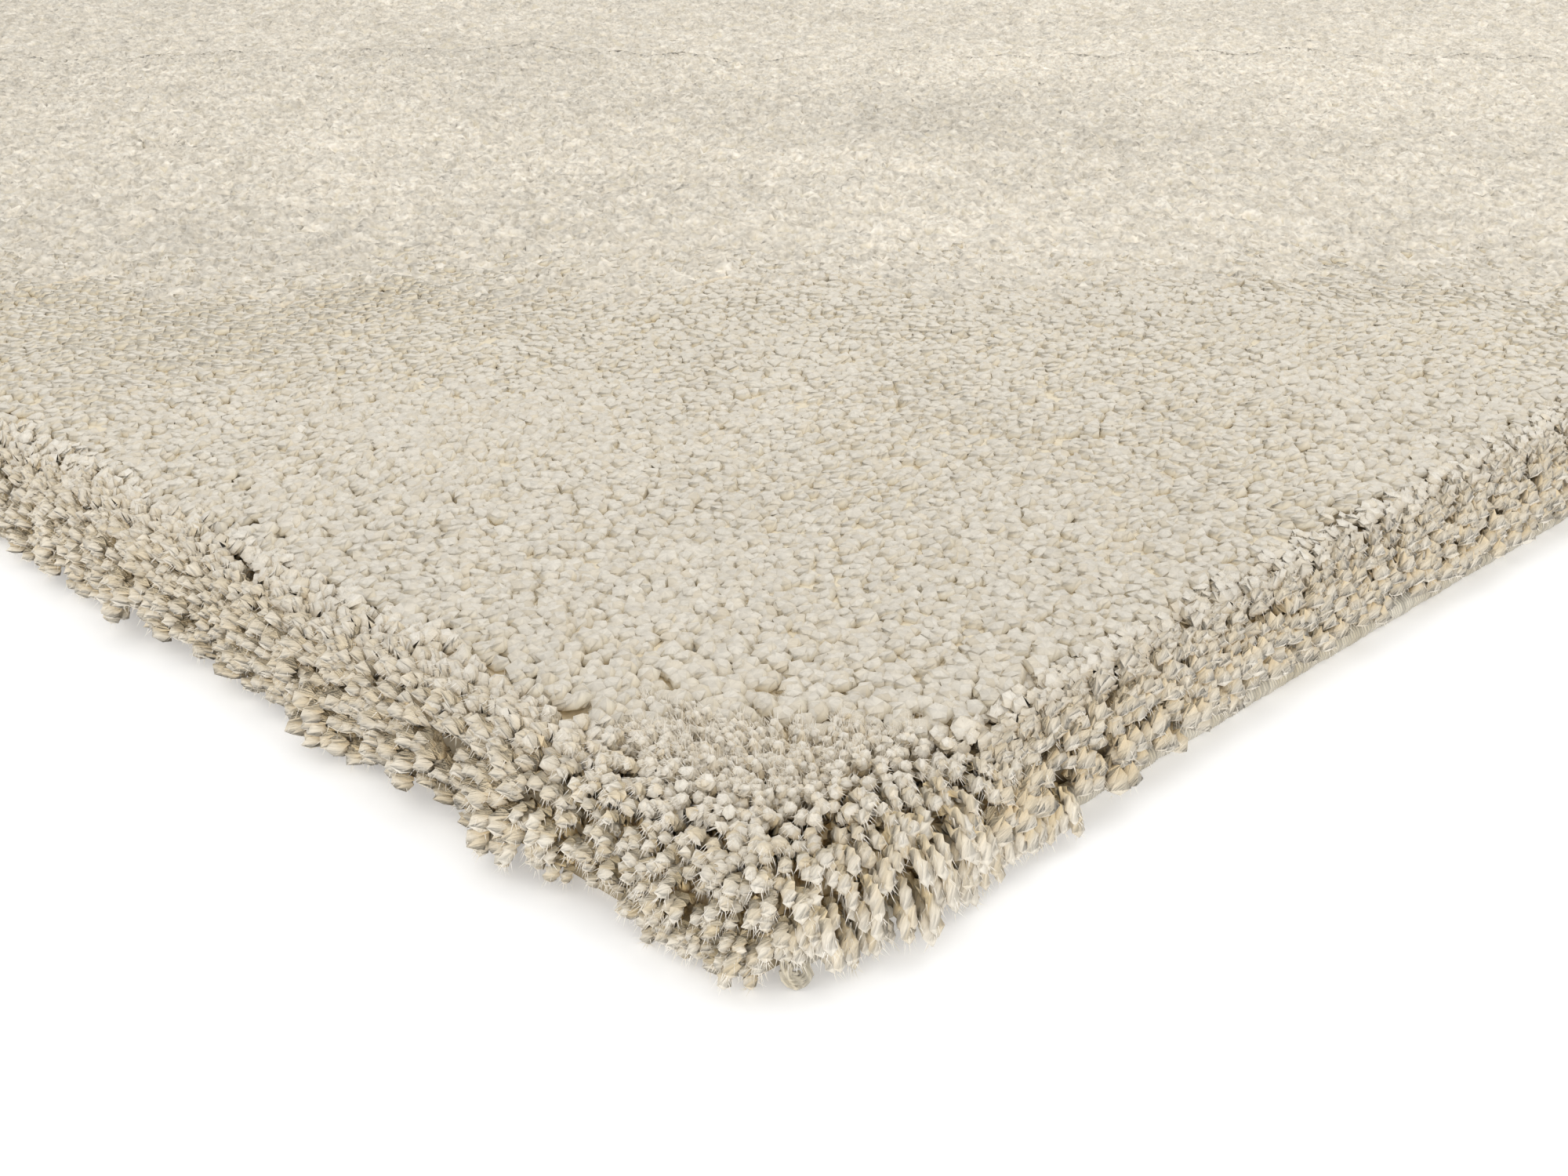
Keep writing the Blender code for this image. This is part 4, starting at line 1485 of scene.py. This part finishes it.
class RUG_OT_field_tufts(bpy.types.Operator):
    """Plant the tufts that the camera sees one by one, from the corner into the field"""
    bl_idname = "rug.field_tufts"
    bl_label = "Field tufts"

    def execute(self, context):
        settings = context.scene.rug_yarn
        more = {CORNER_KIND: corner_spots, EDGE_KIND: outer_spots}
        for name, kind, grade, seed, pitch, finish, fibres in (
                ("corner", CORNER_KIND, CORNER_GRADE, 51, CORNER_PITCH, "open_yarn", 10),
                ("edge", EDGE_KIND, EDGE_GRADE, 56, EDGE_PITCH, "rim_yarn", 4),
                ("near", NEAR_KIND, NEAR_GRADE, 61, 1.0, "field_yarn", 0),
                ("middle", MIDDLE_KIND, MIDDLE_GRADE, 71, 1.0, "field_yarn", 0)):
            x, y = spots(settings.pitch * pitch, 41)
            chosen = kind_of_spots(x, y) == kind
            x, y = x[chosen], y[chosen]
            if kind in more:
                x, y = np.concatenate([[x, y], more[kind](settings.pitch)], 1)
            front = kind == CORNER_KIND
            yarn_piece("tufts_" + name, grade, x, y, settings, finish, seed, front)
            if fibres:
                fibre_piece("fibres_" + name, x, y, fibres, grade.girth, settings, seed, front)
        return {"FINISHED"}


class RUG_OT_rim_tufts(bpy.types.Operator):
    """Plant the rows of tufts round the rest of the rim"""
    bl_idname = "rug.rim_tufts"
    bl_label = "Rim tufts"

    def execute(self, context):
        settings = context.scene.rug_yarn
        x, y = spots(settings.rim_pitch, 42)
        rim = (kind_of_spots(x, y) == COARSE_KIND) & ~tile_of(x, y)[2]
        leaning = fall_at(x, y) > EDGE_FALL
        for name, chosen, finish, seed in (("tufts_rim", rim & leaning, "rim_yarn", 91),
                                           ("tufts_border", rim & ~leaning, "field_yarn", 94)):
            yarn_piece(name, RIM_GRADE, x[chosen], y[chosen], settings, finish, seed)
        return {"FINISHED"}


class RUG_OT_packed_pile(bpy.types.Operator):
    """Lay the sheets of packed tips over the rest of the field"""
    bl_idname = "rug.packed_pile"
    bl_label = "Packed pile"

    def execute(self, context):
        relief = context.scene.rug_yarn.relief
        # Each sheet is painted as light as the pile beside it looks: a coarser sheet, whose
        # valleys shade less of it, is painted darker. Painted light and shade.
        packed_sheet("packed_fine", FINE_KIND, FINE_PEAKS, relief, 0.0, 1.10, 101)
        packed_sheet("packed_medium", MEDIUM_KIND, MEDIUM_PEAKS, relief * 1.1, 0.0003, 1.09, 102)
        packed_sheet("packed_coarse", COARSE_KIND, COARSE_PEAKS, relief * 1.3, 0.0005, 1.05, 103)
        return {"FINISHED"}


class RUG_OT_whipped_edges(bpy.types.Operator):
    """Whip both long edges with thread, finely where the camera sees it"""
    bl_idname = "rug.whipped_edges"
    bl_label = "Whipped edges"

    def execute(self, context):
        pitch = context.scene.rug_edges.thread_pitch
        end = HALF[1] - CORD_SHORT
        seen = FINE_WHIPPING_END
        whipped_edge("whipping_right_near", 1, -end, seen, pitch / 2, 10, "selvedge_right")
        whipped_edge("whipping_right_far", 1, seen, end, 2 * pitch, 8)
        whipped_edge("whipping_left", -1, -end, end, 2 * pitch, 8, "selvedge_left")
        cord_ends()
        return {"FINISHED"}


class RUG_OT_ground_cloth(bpy.types.Operator):
    bl_idname = "rug.ground_cloth"
    bl_label = "Ground cloth"

    def execute(self, context):
        cloth = ground_cloth()
        return {"FINISHED"}


def area_light(name, size, energy, place, toward):
    """A rectangular light that faces a place on the floor."""
    lamp = bpy.data.lights.new(name, "AREA")
    lamp.shape = "RECTANGLE"
    lamp.size, lamp.size_y = size
    lamp.energy = energy
    light = bpy.data.objects.new(name, lamp)
    light.location = place
    way = Vector(toward) - light.location
    light.rotation_euler = way.to_track_quat("-Z", "Y").to_euler()
    bpy.context.scene.collection.objects.link(light)


def studio_floor(settings):
    mesh = bpy.data.meshes.new("studio_floor")
    wide = 30.0
    mesh.from_pydata([(-wide, -wide, 0), (wide, -wide, 0), (wide, wide, 0), (-wide, wide, 0)],
                     [], [(0, 1, 2, 3)])
    material, n, shader = new_finish("floor_paint", 1.0)
    shader.inputs["Base Color"].default_value = settings.floor
    shader.inputs["Specular IOR Level"].default_value = 0.0
    shader.inputs["Emission Color"].default_value = (1.0, 1.0, 1.0, 1.0)
    shader.inputs["Emission Strength"].default_value = settings.glow
    mesh.materials.append(material)
    place_mesh("studio_floor", mesh)


def studio_camera():
    camera = bpy.data.cameras.new("camera")
    camera.lens = LENS
    camera.sensor_width = SENSOR
    camera.clip_start = 0.02
    holder = bpy.data.objects.new("camera", camera)
    look = AHEAD.to_3d() * math.cos(CAMERA_PITCH)
    look.z = -math.sin(CAMERA_PITCH)
    holder.location = CAMERA_PLACE
    holder.rotation_euler = look.to_track_quat("-Z", "Y").to_euler()
    bpy.context.scene.collection.objects.link(holder)
    bpy.context.scene.camera = holder


class RUG_OT_studio(bpy.types.Operator):
    """Set up the floor, the lights and the camera"""
    bl_idname = "rug.studio"
    bl_label = "Studio"

    def execute(self, context):
        settings = context.scene.rug_studio
        studio_floor(settings)
        world = bpy.data.worlds.new("studio")
        world.use_nodes = True
        back = world.node_tree.nodes["Background"]
        back.inputs["Color"].default_value = (1.0, 1.0, 1.0, 1.0)
        back.inputs["Strength"].default_value = settings.sky
        context.scene.world = world
        area_light("softbox", (2.4, 2.0), settings.softbox, (0.6, 0.4, 2.2), (0.35, -0.7, 0.0))
        area_light("front_panel", (2.4, 1.6), settings.front_panel, (2.7, -3.2, 1.1),
                   (0.6, -0.95, 0.0))
        studio_camera()
        context.scene.view_settings.view_transform = "Standard"
        return {"FINISHED"}


class RUG_PT_panel(bpy.types.Panel):
    """Lists the steps that make the rug"""
    bl_idname = "RUG_PT_panel"
    bl_label = "Shag rug"
    bl_space_type = "VIEW_3D"
    bl_region_type = "UI"
    bl_category = "Rug"

    def draw(self, context):
        for group in SETTINGS:
            settings = getattr(context.scene, group)
            box = self.layout.box()
            for name in settings.__annotations__:
                box.prop(settings, name)
        for step in STEPS:
            self.layout.operator(step.bl_idname)


SETTINGS = {"rug_yarn": YarnSettings, "rug_edges": EdgeSettings, "rug_studio": StudioSettings}
STEPS = (RUG_OT_studio, RUG_OT_pile_bed, RUG_OT_field_tufts, RUG_OT_rim_tufts,
         RUG_OT_packed_pile, RUG_OT_whipped_edges, RUG_OT_ground_cloth)
CLASSES = (*SETTINGS.values(), *STEPS, RUG_PT_panel)


def register():
    for item in CLASSES:
        bpy.utils.register_class(item)
    for name, kind in SETTINGS.items():
        setattr(bpy.types.Scene, name, PointerProperty(type=kind))


def unregister():
    for name in SETTINGS:
        delattr(bpy.types.Scene, name)
    for item in reversed(CLASSES):
        bpy.utils.unregister_class(item)


def main():
    register()
    for step in STEPS:
        group, name = step.bl_idname.split(".")
        getattr(getattr(bpy.ops, group), name)()


if __name__ == "__main__":
    main()
